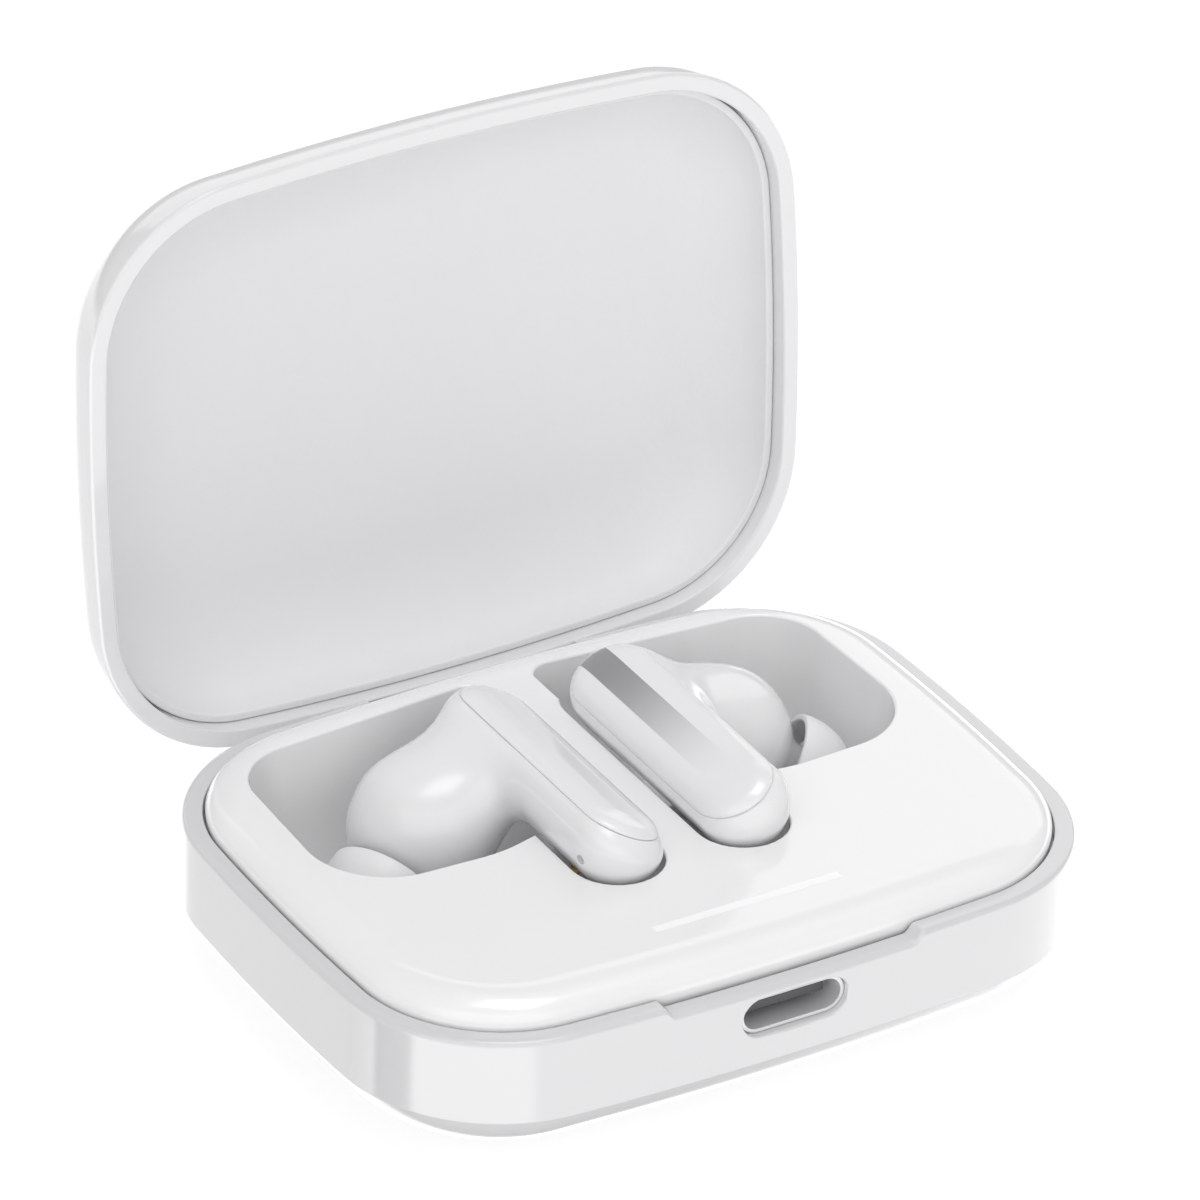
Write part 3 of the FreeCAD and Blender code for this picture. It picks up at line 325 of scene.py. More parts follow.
def combined(name, base, added, removed, material):
    """base with surfaces added and removed, still facing as smoothly as each of them did."""
    made = make_object(name, base, material)
    tools = [(tool, "UNION") for tool in added] + [(tool, "DIFFERENCE") for tool in removed]
    helpers = []
    for index, (tool, operation) in enumerate(tools):
        helper = make_object(f"{name}_tool_{index}", tool, material)
        step = made.modifiers.new(operation, "BOOLEAN")
        step.operation = operation
        step.solver = "EXACT"
        step.object = helper
        helpers.append(helper)
    depsgraph = bpy.context.evaluated_depsgraph_get()
    mesh = bpy.data.meshes.new_from_object(made.evaluated_get(depsgraph))
    made.modifiers.clear()
    for helper in helpers:
        bpy.data.objects.remove(helper)
    sources = [(base, 1), *((tool, 1) for tool in added), *((tool, -1) for tool in removed)]
    trees = [(source, sign, *tree_of(source), {}) for source, sign in sources]
    normals = [None] * len(mesh.loops)
    for face in mesh.polygons:
        source, sign, tree, triangles, known = nearest_source(trees, face)
        for corner in face.loop_indices:
            index = mesh.loops[corner].vertex_index
            if source is None or source.flat:
                normals[corner] = face.normal
                continue
            if index not in known:
                known[index] = facing_at(mesh.vertices[index].co / MM, source, tree, triangles) * sign
            fits = known[index].dot(face.normal) > 0.3
            normals[corner] = known[index] if fits else face.normal
    mesh.shade_smooth()
    mesh.normals_split_custom_set(normals)
    made.data = mesh
    mesh.name = name
    return made


# ---- materials ---------------------------------------------------------------------------------


def moulded(name, colour, roughness, coat=0.0, bump=0.006, grain=900.0, subsurface=0.0, metallic=0.0):
    """Moulded plastic or metal: a slight cloudiness, uneven polish and a fine surface texture."""
    material = bpy.data.materials.new(name)
    material.use_nodes = True
    nodes = material.node_tree.nodes
    links = material.node_tree.links
    shader = nodes["Principled BSDF"]
    shader.inputs["Metallic"].default_value = metallic
    shader.inputs["Coat Weight"].default_value = coat
    shader.inputs["Coat Roughness"].default_value = 0.03
    shader.inputs["Subsurface Weight"].default_value = subsurface
    shader.inputs["Subsurface Radius"].default_value = (0.0012, 0.001, 0.0009)
    place = nodes.new("ShaderNodeTexCoord")

    cloud = nodes.new("ShaderNodeTexNoise")
    cloud.inputs["Scale"].default_value = 60.0
    cloud.inputs["Detail"].default_value = 3.0
    links.new(place.outputs["Object"], cloud.inputs["Vector"])
    tint = nodes.new("ShaderNodeValToRGB")
    tint.color_ramp.elements[0].position = 0.3
    tint.color_ramp.elements[1].position = 0.7
    tint.color_ramp.elements[0].color = (*(c * 0.985 for c in colour), 1)
    tint.color_ramp.elements[1].color = (*colour, 1)
    links.new(cloud.outputs["Fac"], tint.inputs["Fac"])
    links.new(tint.outputs["Color"], shader.inputs["Base Color"])

    polish = nodes.new("ShaderNodeMapRange")
    polish.inputs["To Min"].default_value = roughness * 0.9
    polish.inputs["To Max"].default_value = roughness * 1.1
    links.new(cloud.outputs["Fac"], polish.inputs["Value"])
    links.new(polish.outputs["Result"], shader.inputs["Roughness"])

    texture = nodes.new("ShaderNodeTexNoise")
    texture.inputs["Scale"].default_value = grain
    texture.inputs["Detail"].default_value = 2.0
    links.new(place.outputs["Object"], texture.inputs["Vector"])
    relief = nodes.new("ShaderNodeBump")
    relief.inputs["Strength"].default_value = 1.0
    relief.inputs["Distance"].default_value = bump * MM
    links.new(texture.outputs["Fac"], relief.inputs["Height"])
    links.new(relief.outputs["Normal"], shader.inputs["Normal"])
    return material


# The lower shell and the lid are one glossy white plastic; the shell's copy is set darker than the
# lid's, painted shade that holds the band at its grey.
SHELL_WHITE_PAINTED_SHADE = moulded("glossy_white_shell_painted_shade", (0.69, 0.69, 0.70), 0.09, coat=1.0)
LID_WHITE = moulded("glossy_white_lid", (0.79, 0.79, 0.80), 0.09, coat=1.0)
DECK_WHITE = moulded("glossy_white_tray", (0.92, 0.92, 0.925), 0.05, coat=0.8)
LINER_GREY = moulded("satin_grey_lining", (0.82, 0.82, 0.835), 0.42, bump=0.02, grain=2500.0)
BUD_WHITE = moulded("glossy_white_bud", (0.86, 0.86, 0.87), 0.12, coat=0.4, subsurface=0.1)
PLATE_WHITE = moulded("polished_white_plate", (0.86, 0.86, 0.87), 0.05, coat=0.8)
# A copy of the plate white for the right plate, with a painted reflection of the lid's shaded lining
# mixed into its colour further down.
PLATE_PAINTED_REFLECTION = moulded("striped_white_plate", (0.86, 0.86, 0.87), 0.05, coat=0.8)
SILICONE = moulded("white_silicone", (0.86, 0.86, 0.87), 0.38, bump=0.012, subsurface=0.35)
LIGHT_WHITE = moulded("frosted_light_guide", (0.93, 0.93, 0.94), 0.2, subsurface=0.3)
HINGE_WHITE = moulded("satin_white_hinge", (0.78, 0.78, 0.79), 0.25)
STEEL = moulded("brushed_steel", (0.62, 0.62, 0.64), 0.28, metallic=1.0, grain=1500.0)
PORT_STEEL = moulded("tinned_port_shell", (0.8, 0.8, 0.81), 0.5, metallic=0.4)
GOLD = moulded("gold_plate", (0.95, 0.72, 0.36), 0.18, metallic=1.0)
NICKEL = moulded("nickelled_magnet", (0.7, 0.69, 0.66), 0.2, metallic=1.0)
BLACK = moulded("black_plastic", (0.06, 0.06, 0.063), 0.35)
MESH_DARK = moulded("dark_acoustic_mesh", (0.06, 0.06, 0.065), 0.5, bump=0.05, grain=5000.0)
BOARD_GREEN = moulded("solder_mask", (0.02, 0.16, 0.07), 0.3)
FOIL = moulded("cell_foil", (0.75, 0.76, 0.78), 0.3, metallic=1.0, bump=0.03)
FOAM = moulded("foam_pad", (0.12, 0.12, 0.13), 0.9, bump=0.08, grain=3000.0)
LED = moulded("led_lens", (0.95, 0.95, 0.9), 0.15)
for glow, strength in ((LIGHT_WHITE, 0.08), (LED, 0.5)):
    lens = glow.node_tree.nodes["Principled BSDF"]
    lens.inputs["Emission Color"].default_value = (1.0, 1.0, 1.0, 1.0)
    lens.inputs["Emission Strength"].default_value = strength

SLOT_MATERIALS = {
    "shell_white": SHELL_WHITE_PAINTED_SHADE,
    "deck_white": DECK_WHITE,
    "hinge_white": HINGE_WHITE,
    "liner_grey": LINER_GREY,
    "bud_white": BUD_WHITE,
    "plate_white": PLATE_WHITE,
    "silicone": SILICONE,
    "light_white": LIGHT_WHITE,
    "led": LED,
    "steel": STEEL,
    "gold": GOLD,
    "magnet": NICKEL,
    "black_plastic": BLACK,
    "circuit_green": BOARD_GREEN,
    "cell_foil": FOIL,
    "foam": FOAM,
    "mesh_dark": MESH_DARK,
}


def finished(piece, body, slot, *nodes):
    """Ties a piece to the body that it moves with and hides the CAD nodes that it stands for; slot, its
    finish, is not used.
    """
    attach(piece, body)
    if nodes:
        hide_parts(*nodes)


# ---- lower shell -------------------------------------------------------------------------------


def slot_ring(half_length, half_height, steps=12):
    """A slot with round ends, long side across, turning left, as (across, up) pairs."""
    straight = half_length - half_height
    turns = np.linspace(-math.pi / 2, math.pi / 2, steps + 1)
    right = [(straight + half_height * math.cos(t), half_height * math.sin(t)) for t in turns]
    return right + [(-u, -v) for u, v in right]


def flared_slot(half_length, half_height, flare, face, depth):
    """A cutter for a slot in the front wall, whose mouth opens out in a round lip."""
    rings = []
    steps = [(depth, 0.0)]
    for index in range(7):
        turn = math.pi / 2 * index / 6
        steps.append((flare * (1 - math.sin(turn)), flare * (1 - math.cos(turn))))
    steps.append((-1.0, flare * 1.0))
    for inward, grow in steps:
        ring = slot_ring(half_length + grow, half_height + grow)
        rings.append([(u, face + inward, PORT_LEVEL + v) for u, v in ring])
    return lofted(rings)


def notch_drop(x, y):
    """How far the rim dips at the thumb notch."""
    t = np.clip((NOTCH_HALF + NOTCH_SLOPE / 2 - np.abs(x)) / NOTCH_SLOPE, 0, 1)
    return np.where(y < 0, NOTCH_DEPTH * t * t * (3 - 2 * t), 0.0)


def underside(wall, last_inset, steps=20):
    """The arc from the foot out to last_inset, wall inside the skin, as (inset, level) pairs."""
    radius = (FOOT_INSET**2 + BAND_LEVEL**2) / (2 * BAND_LEVEL)
    reach = radius - wall
    last_turn = math.asin((FOOT_INSET - last_inset) / reach)
    turns = [last_turn * step / steps for step in range(steps + 1)]
    return [(FOOT_INSET - reach * math.sin(t), radius - reach * math.cos(t)) for t in turns]


def box_cutter(low, high):
    (a, b, c), (d, e, f) = low, high
    rings = [[(a, b, level), (d, b, level), (d, e, level), (a, e, level)] for level in (c, f)]
    return lofted(rings, flat=True)


def make_base_shell():
    outer = underside(0.0, 0.0)
    inner = underside(FLOOR_WALL, LEDGE_WALL)
    inner_top = inner[-1][1]
    corners = [
        (*outer[-2], 0),
        (0, BAND_LEVEL, 0.25),
        (0, RIM_LEVEL, 0.45),
        (RIM_WALL, RIM_LEVEL, 0.12),
        (RIM_WALL, LEDGE_LEVEL, 0.05),
        (LEDGE_WALL, LEDGE_LEVEL, 0.1),
        (LEDGE_WALL, inner_top, 0),
    ]
    bends = rounded(corners)
    path = [*outer[:-2], *bends, *inner[-2::-1]]
    rings = [ring_at(*pair) for pair in path]
    for ring in rings:
        high = ring[:, 2] > RIM_LEVEL - 0.6
        ring[high, 2] -= notch_drop(ring[high, 0], ring[high, 1])
    body = lofted(rings)
    port = flared_slot(PORT_WIDTH / 2, PORT_HEIGHT / 2, PORT_FLARE, -HALF_DEPTH, PORT_DEPTH)
    low = (-SLOT_HALF, HINGE[1] - 2.0, SLOT_LEVEL)
    slot = box_cutter(low, (SLOT_HALF, HALF_DEPTH + 1, RIM_LEVEL + 1))
    piece = combined("lower_shell", body, [], [port, slot], SHELL_WHITE_PAINTED_SHADE)
    finished(piece, "base", "shell_white", "base_shell")


make_base_shell()

# ---- tray --------------------------------------------------------------------------------------

WELL_CORNERS = [
    (2.2, 0.3, 1.6),
    (12.5, -2.4, 12.0),
    (25.3, -1.8, 6.5),
    (24.5, 17.6, 5.0),
    (2.2, 19.2, 1.6),
]
WELL_INSIDE = [(0.0, 0.2), (0.35, 3.65), (0.85, 7.15), (1.6, 9.45), (2.6, 10.9), (4.3, 11.75)]
WELL_OUTSIDE = [(-1.0, 1.25), (-0.65, 4.15), (-0.15, 7.65), (0.7, 10.25), (1.8, 11.7), (3.4, 12.5)]
DECK_THICK = 1.35
EDGE_ROUND = 0.22


def well_ring(shrink, level, side, steps=18):
    """The well's outline with its walls moved in by shrink."""
    points = np.array([corner[:2] for corner in WELL_CORNERS])
    along = unit(np.roll(points, -1, axis=0) - points)
    moved = points + np.column_stack((-along[:, 1], along[:, 0])) * shrink
    path = []
    for index in range(len(points)):
        before, after = along[index - 1], along[index]
        gap = moved[index] - moved[index - 1]
        reach = (gap[0] * after[1] - gap[1] * after[0]) / (before[0] * after[1] - before[1] * after[0])
        corner = moved[index - 1] + before * reach
        path.append((*corner, WELL_CORNERS[index][2]))
    ring = np.array(rounded(path, steps))
    return sided(np.column_stack((ring, np.full(len(ring), level))), side)


def sided(ring, side):
    """The ring as it is for the right-hand side, or its mirror image, turning the same way."""
    if side > 0:
        return ring
    return ring[::-1] * np.array((-1, 1, 1))


def trough_ring(low_x, high_x, front, back, level, side, steps=16):
    radius = (high_x - low_x) / 2
    middle = low_x + radius
    turns = np.linspace(0, math.pi, steps + 1)
    far = [(middle + radius * math.cos(t), back - radius + radius * math.sin(t)) for t in turns]
    near = [(middle - radius * math.cos(t), front + radius - radius * math.sin(t)) for t in turns]
    ring = np.array(far + near)
    return sided(np.column_stack((ring, np.full(len(ring), level))), side)


def lip():
    """The round edge where the deck turns down into a hollow, as (shrink, depth) pairs."""
    turns = np.linspace(0, math.pi / 2, 7)
    arc = [(EDGE_ROUND * (math.sin(t) - 1), EDGE_ROUND * (1 - math.cos(t)) - 0.01) for t in turns]
    return [(-EDGE_ROUND, -0.5), *arc]


def well_skin(side):
    pairs = eased(WELL_OUTSIDE, 3)
    return lofted([well_ring(shrink, DECK_LEVEL - depth, side) for shrink, depth in pairs[::-1]])


def well_hollow(side):
    pairs = [*lip(), *eased(WELL_INSIDE, 6)]
    return lofted([well_ring(shrink, DECK_LEVEL - depth, side) for shrink, depth in pairs[::-1]])


TROUGH_DECK = (1.75, 9.1, -10.75, 16.0)
TROUGH_FLOOR = (3.4, 7.4, -9.0, 14.8)
TROUGH_LEVEL = 12.35
TROUGH_THICK = 1.0
TRAY_SKIRT = 11.0


def trough_shape(share):
    """The trough's limits, share of the way from the deck's opening to its floor."""
    return [a + (b - a) * share for a, b in zip(TROUGH_DECK, TROUGH_FLOOR)]


def trough_hollow(side):
    drop = DECK_LEVEL - TROUGH_LEVEL
    rings = []
    for shrink, depth in lip():
        low, high, front, back = trough_shape(0)
        rings.append((low + shrink, high - shrink, front + shrink, back - shrink, DECK_LEVEL - depth))
    for step in range(1, 13):
        turn = math.pi / 2 * step / 12
        level = DECK_LEVEL - EDGE_ROUND - (drop - EDGE_ROUND) * math.sin(turn)
        rings.append((*trough_shape(1 - math.cos(turn)), level))
    return lofted([trough_ring(*ring, side) for ring in rings[::-1]])


def trough_skin(side):
    rings = []
    for share, level in ((1, TROUGH_LEVEL - TROUGH_THICK), (0, DECK_LEVEL - 1.2)):
        low, high, front, back = trough_shape(share)
        wall = TROUGH_THICK
        rings.append((low - wall * 0.5, high + wall, front - wall, back + wall, level))
    return lofted([trough_ring(*ring, side) for ring in rings])


def make_tray():
    shoulder = quarter(SHOULDER_INSET, RIM_LEVEL, DECK_INSET - SHOULDER_INSET, DECK_LEVEL - RIM_LEVEL)
    under = DECK_LEVEL - DECK_THICK
    skirt_inset = LEDGE_WALL + 0.15
    path = [
        (skirt_inset + 1.2, under),
        (skirt_inset + 1.2, TRAY_SKIRT),
        (skirt_inset, TRAY_SKIRT),
        (skirt_inset, LEDGE_LEVEL),
        (SHOULDER_INSET, LEDGE_LEVEL),
        *shoulder,
    ]
    body = lofted([ring_at(*pair) for pair in path])
    skins = []
    hollows = []
    for side in SIDES.values():
        skins += [well_skin(side), trough_skin(side)]
        hollows += [well_hollow(side), trough_hollow(side)]
        for low, high in PIN_BOXES:
            middle = (low + high) / 2 * (side, 1, 1)
            radius = (high[0] - low[0]) / 2 + PIN_GAP
            end = high[2] - middle[2] + 1.0
            hollows.append(rod(middle, np.array((0.0, 0.0, 1.0)), radius, 0.0, end))
    low = GUIDE_LOW - 0.01
    high = GUIDE_HIGH + 0.01
    slot = box_cutter((low[0], low[1], under - 1), (high[0], high[1], DECK_LEVEL + 1))
    piece = combined("tray", body, skins, [*hollows, slot], DECK_WHITE)
    finished(piece, "base", "deck_white", "bud_tray")


make_tray()

# ---- lid ---------------------------------------------------------------------------------------

SWING = Matrix.Rotation(math.radians(-OPEN_ANGLE), 4, "X")
TO_OPEN = Matrix.Translation(HINGE.tolist()) @ SWING @ Matrix.Translation((-HINGE).tolist())


def lid_inside(base, side_gap, roof_gap, steps=24):
    """The lid's inner wall, moved in from its skin by the two gaps, as (inset, level) pairs."""
    ceiling = LID_FOOT + LID_BAND + CROWN_HEIGHT - LID_WALL - roof_gap
    return quarter(LID_RIM + side_gap, base, CROWN_INSET - 0.9, ceiling - base, steps)


def make_lid():
    band_top = LID_FOOT + LID_BAND
    crown = quarter(0.0, band_top, CROWN_INSET, CROWN_HEIGHT, 30)
    inner_base = LID_FOOT + LID_BAND * 0.75
    inside = lid_inside(inner_base, 0.0, 0.0)
    rim = rounded([(*inside[1], 0), (LID_RIM, LID_FOOT, 0.2), (0, LID_FOOT, 0.3), (*crown[1], 0)])
    path = [*inside[:0:-1], *rim[1:-1], *crown]
    body = lofted([ring_at(*pair) for pair in path])
    half = ARM_HALF + 0.1
    low = (-half, HINGE[1] - 0.6, LID_FOOT - 1)
    slot = box_cutter(low, (half, HINGE[1] + 2.0, HINGE[2] + 5.5))
    piece = combined("lid_cover", body.mapped(TO_OPEN), [], [slot.mapped(TO_OPEN)], LID_WHITE)
    finished(piece, "lid", "shell_white", "lid_shell")


def make_liner():
    base = LID_FOOT + LINER_START
    outside = lid_inside(base, LINER_GAP, LINER_ROOF_GAP)
    inside = lid_inside(base, LINER_GAP + LINER_THICK, LINER_ROOF_GAP + LINER_THICK)
    edge = rounded([(*inside[1], 0), (*inside[0], 0.15), (*outside[0], 0.15), (*outside[1], 0)], 3)
    path = [*inside[:0:-1], *edge[1:-1], *outside[1:]]
    body = lofted([ring_at(*pair) for pair in path])
    piece = make_object("lid_lining", body.mapped(TO_OPEN), LINER_GREY)
    finished(piece, "lid", "liner_grey", "lid_liner")


make_lid()
make_liner()

# ---- earbuds -----------------------------------------------------------------------------------

BUD_TILT = math.radians(25.4)
BUD_HOME = np.array((4.52, 0.0, 18.31))
ACROSS = np.array((math.cos(BUD_TILT), 0.0, math.sin(BUD_TILT)))
UPWARD = np.array((-math.sin(BUD_TILT), 0.0, math.cos(BUD_TILT)))
PLATE_HALF = 3.27
PLATE_FRONT = -9.6
PLATE_BACK = 14.3
PLATE_THICK = 1.0
PLATE_CROWN = [(0.0, 0.1), (0.08, 0.24), (0.25, 0.4), (0.7, 0.69), (1.3, 0.87), (2.1, 0.99)]
SEAM = BUD_HOME - UPWARD * PLATE_THICK
STEM_RADIUS = 3.65
STEM_AXIS = np.array((5.4, 0.0, 16.23))
STEM_ENDS = (-7.1, 10.95)
STEM_DEPTH = 4.9
NECK_MIDDLES = (8.2, 8.4)
NECK_HALF_LENGTHS = (6.2, 5.1)
NECK_HALF_WIDTHS = (3.1, 4.85)
NECK_FLARE = 1.1
NECK_BLEND = 1.3
NECK_END_BLEND = 2.5
SEAM_LIP = 0.14
SEAM_BLEND = 0.4
DRAFT_SLOPE = 0.95
DRAFT_STEEPNESS = 1.38
OVER_SEAM = 1.2
HEAD_BLEND = 2.2
NOZZLE_BLEND = 1.2
HEAD_CENTRE = np.array((13.3, 8.4, 10.8))
HEAD_RADIUS = 5.5
NOZZLE_WAY = unit(np.array((0.775, -0.44, -0.454)))
NOZZLE_RADIUS = 2.1
NOZZLE_END = 8.9
NOZZLE_BORE = 1.4
MIC_PLACE = np.array((8.97, -7.76, 15.9))
MIC_WAY = unit(np.array((0.98, -0.18, -0.09)))
CONTACT_PLACES = [(low[1] + high[1]) / 2 for low, high in PIN_BOXES]
CONTACT_RADIUS = 0.6
MIC_RADIUS = 0.4
SKIN_LOW = (0.6, -11.4, 3.2)
SKIN_HIGH = (23.2, 15.7, 21.2)
SKIN_CELL = 0.3
# A painted reflection on the right plate: the band's half-width, its soft edge, where it fades from
# nothing to full along y, and its dark grey.
PAINTED_REFLECTION_HALF = 1.15
PAINTED_REFLECTION_EDGE = 0.06
PAINTED_REFLECTION_ENDS = (-6.0, 11.5)
PAINTED_REFLECTION_GREY = (0.27, 0.27, 0.28)
MIRROR = Matrix.Diagonal((-1, 1, 1, 1))


def merged(first, second, blend):
    """The union of two fields, with a round fillet between them."""
    share = np.clip(0.5 + (second - first) / (2 * blend), 0, 1)
    return second + (first - second) * share - blend * share * (1 - share)


def shared(first, second, blend):
    """What two fields have in common, its edge rounded."""
    return -merged(-first, -second, blend)


def between(ends, share):
    return ends[0] + (ends[1] - ends[0]) * share


def bud_field(points):
    """How far points are outside the right earbud's body, its stem filled up over the seam."""
    x, y, z = points[..., 0], points[..., 1], points[..., 2]
    over = y - np.clip(y, *STEM_ENDS)
    stem = np.sqrt((x - STEM_AXIS[0]) ** 2 + (z - STEM_AXIS[2]) ** 2 + over**2) - STEM_RADIUS

    span = HEAD_CENTRE - SEAM
    length = math.hypot(span[0], span[2])
    along = ((x - SEAM[0]) * span[0] + (z - SEAM[2]) * span[2]) / length
    aside = ((z - SEAM[2]) * span[0] - (x - SEAM[0]) * span[2]) / length
    share = np.clip(along / length, -0.3, 1)
    middle = between(NECK_MIDDLES, share)
    half_length = between(NECK_HALF_LENGTHS, share)
    half_width = between(NECK_HALF_WIDTHS, np.sign(share) * np.abs(share) ** NECK_FLARE)
    neck = np.hypot((y - middle) / half_length, aside / half_width) - 1
    neck = shared(neck * np.minimum(half_length, half_width), along - length, NECK_END_BLEND)

    across = (points - SEAM) @ ACROSS
    depth = -((points - SEAM) @ UPWARD)
    straight = np.clip(y, PLATE_FRONT + PLATE_HALF, PLATE_BACK - PLATE_HALF)
    draft = np.hypot(across, y - straight) - PLATE_HALF - SEAM_LIP - DRAFT_SLOPE * depth
    body = shared(merged(stem, neck, NECK_BLEND), draft / DRAFT_STEEPNESS, SEAM_BLEND)
    body = np.maximum(body, -depth - OVER_SEAM)

    head = np.linalg.norm(points - HEAD_CENTRE, axis=-1) - HEAD_RADIUS
    reach = (points - HEAD_CENTRE) @ NOZZLE_WAY
    around = np.sqrt(np.maximum(((points - HEAD_CENTRE) ** 2).sum(axis=-1) - reach**2, 0))
    nozzle = shared(around - NOZZLE_RADIUS, np.abs(reach - NOZZLE_END / 2) - NOZZLE_END / 2, 0.2)
    return merged(merged(body, head, HEAD_BLEND), nozzle, NOZZLE_BLEND)


def slope_of(field, points, step=0.02):
    """How steeply a field rises along x, y and z at each point."""
    offsets = np.eye(3) * step
    rise = [field(points + offset) - field(points - offset) for offset in offsets]
    return np.stack(rise, axis=-1) / (2 * step)


def skin_of(field, low, high, cell):
    """The surface where a field is zero: one point in each cell that it crosses, drawn onto it."""
    counts = np.ceil((np.array(high) - low) / cell).astype(int) + 1
    steps = [start + cell * np.arange(count) for start, count in zip(low, counts)]
    grid = np.stack(np.meshgrid(*steps, indexing="ij"), axis=-1)
    inside = field(grid) < 0
    corners = sum(
        inside[i : counts[0] - 1 + i, j : counts[1] - 1 + j, k : counts[2] - 1 + k].astype(int)
        for i in (0, 1)
        for j in (0, 1)
        for k in (0, 1)
    )
    crossed = (corners > 0) & (corners < 8)
    index = np.full(crossed.shape, -1)
    index[crossed] = np.arange(crossed.sum())
    points = np.argwhere(crossed) * cell + low + cell / 2
    faces = []
    for axis in range(3):
        one, two = (axis + 1) % 3, (axis + 2) % 3
        before = np.take(inside, range(counts[axis] - 1), axis)
        after = np.take(inside, range(1, counts[axis]), axis)
        for place in np.argwhere(before != after):
            ring = []
            for a, b in ((-1, -1), (0, -1), (0, 0), (-1, 0)):
                spot = place.copy()
                spot[one] += a
                spot[two] += b
                ring.append(index[tuple(spot)])
            leaving = before[tuple(place)]
            faces.append(tuple(ring) if leaving else tuple(ring[::-1]))
    ends = np.array(faces)
    pairs = np.concatenate((ends[:, (0, 1)], ends[:, (1, 2)], ends[:, (2, 3)], ends[:, (3, 0)]))
    for _ in range(6):
        total = np.zeros_like(points)
        np.add.at(total, pairs[:, 0], points[pairs[:, 1]])
        number = np.bincount(pairs[:, 0], minlength=len(points))[:, None]
        points = (points + total / number) / 2
        for _ in range(2):
            slope = slope_of(field, points)
            steep = np.maximum((slope**2).sum(axis=-1), 0.05)
            points = points - slope * (field(points) / steep)[:, None]
    return Surface(points, faces, unit(slope_of(field, points)))


def turned(profile, place, way, count=72):
    """A ring of material turned from a closed profile of (radius, distance along way) pairs."""
    side = unit(np.cross(way, (0.3, 0.9, 0.2)))
    other = np.cross(way, side)
    turns = 2 * math.pi * np.arange(count) / count
    spokes = np.outer(np.cos(turns), side) + np.outer(np.sin(turns), other)
    points = np.concatenate([place + way * along + spokes * radius for radius, along in profile])
    faces = []
    total = len(profile)
    for level in range(total):
        here, above = level * count, (level + 1) % total * count
        for index in range(count):
            after = (index + 1) % count
            faces.append((here + index, here + after, above + after, above + index))
    return Surface(points, faces)


def copied(name, piece, material):
    """The mirror image, on the left, of a piece on the right."""
    mesh = piece.data
    points = np.array([tuple(vertex.co) for vertex in mesh.vertices]) * (-1, 1, 1)
    faces = [tuple(face.vertices)[::-1] for face in mesh.polygons]
    normals = []
    for face in mesh.polygons:
        for corner in list(face.loop_indices)[::-1]:
            normals.append(mesh.corner_normals[corner].vector * Vector((-1, 1, 1)))
    made = bpy.data.meshes.new(name)
    made.from_pydata(points.tolist(), [], faces)
    made.shade_smooth()
    made.normals_split_custom_set(normals)
    made.materials.append(material)
    twin = bpy.data.objects.new(name, made)
    bpy.context.scene.collection.objects.link(twin)
    return twin


def make_bud_bodies():
    skin = skin_of(bud_field, SKIN_LOW, SKIN_HIGH, SKIN_CELL)
    over = [SEAM + ACROSS * a + UPWARD * h for a, h in ((-9, 0), (9, 0), (9, 9), (-9, 9))]
    above = lofted([[corner + np.array((0, y, 0)) for corner in over] for y in (17, -13)], flat=True)
    bore = rod(HEAD_CENTRE, NOZZLE_WAY, NOZZLE_BORE, 6.5, 12.0)
    mic = rod(MIC_PLACE, MIC_WAY, MIC_RADIUS, -1.0, 1.0, 16)
    cuts = [above, bore, mic]
    for y in CONTACT_PLACES:
        place = SEAM + np.array((0, y, 0))
        cuts.append(rod(place, -UPWARD, CONTACT_RADIUS + PIN_GAP, STEM_DEPTH - 0.9, STEM_DEPTH + 2))
    right = combined("right_bud_body", skin, [], cuts, BUD_WHITE)
    left = copied("left_bud_body", right, BUD_WHITE)
    finished(right, "right_bud", "bud_white", "right_housing")
    finished(left, "left_bud", "bud_white", "left_housing")


def make_contacts():
    rods = [
        rod(SEAM + np.array((0, y, 0)), -UPWARD, CONTACT_RADIUS, STEM_DEPTH - 0.8, STEM_DEPTH - 0.06)
        for y in CONTACT_PLACES
    ]
    shift = len(rods[0].points)
    faces = rods[0].faces + [tuple(index + shift for index in face) for face in rods[1].faces]
    pair = Surface(np.concatenate([part.points for part in rods]), faces)
    for label, side in SIDES.items():
        shape = pair if side > 0 else pair.mapped(MIRROR)
        piece = make_object(f"{label}_contacts", shape, GOLD)
        finished(piece, f"{label}_bud", "gold", f"{label}_charge_contacts")


def plate_ring(inset, height, steps=20):
    """The faceplate's outline moved inwards by inset, at that height over the seam."""
    radius = max(PLATE_HALF - inset, 0.02)
    turns = np.linspace(0, math.pi, steps + 1)
    far = [(radius * math.cos(t), PLATE_BACK - PLATE_HALF + radius * math.sin(t)) for t in turns]
    near = [(-radius * math.cos(t), PLATE_FRONT + PLATE_HALF - radius * math.sin(t)) for t in turns]
    return [SEAM + ACROSS * a + np.array((0, y, 0)) + UPWARD * height for a, y in far + near]


def make_bud_plates():
    foot = [(0.5, 0.004), (0.1, 0.004), (0.03, 0.03)]
    crown = eased(PLATE_CROWN, 4)
    facet = [(2.14, PLATE_THICK), (2.7, PLATE_THICK), (3.26, PLATE_THICK)]
    plate = lofted([plate_ring(*pair) for pair in (*foot, *crown, *facet)])
    for label, side in SIDES.items():
        shape = plate if side > 0 else plate.mapped(MIRROR)
        # Only the right plate carries the painted reflection.
        material = PLATE_PAINTED_REFLECTION if side > 0 else PLATE_WHITE
        piece = make_object(f"{label}_plate", shape, material)
        finished(piece, f"{label}_bud", "plate_white", f"{label}_faceplate")


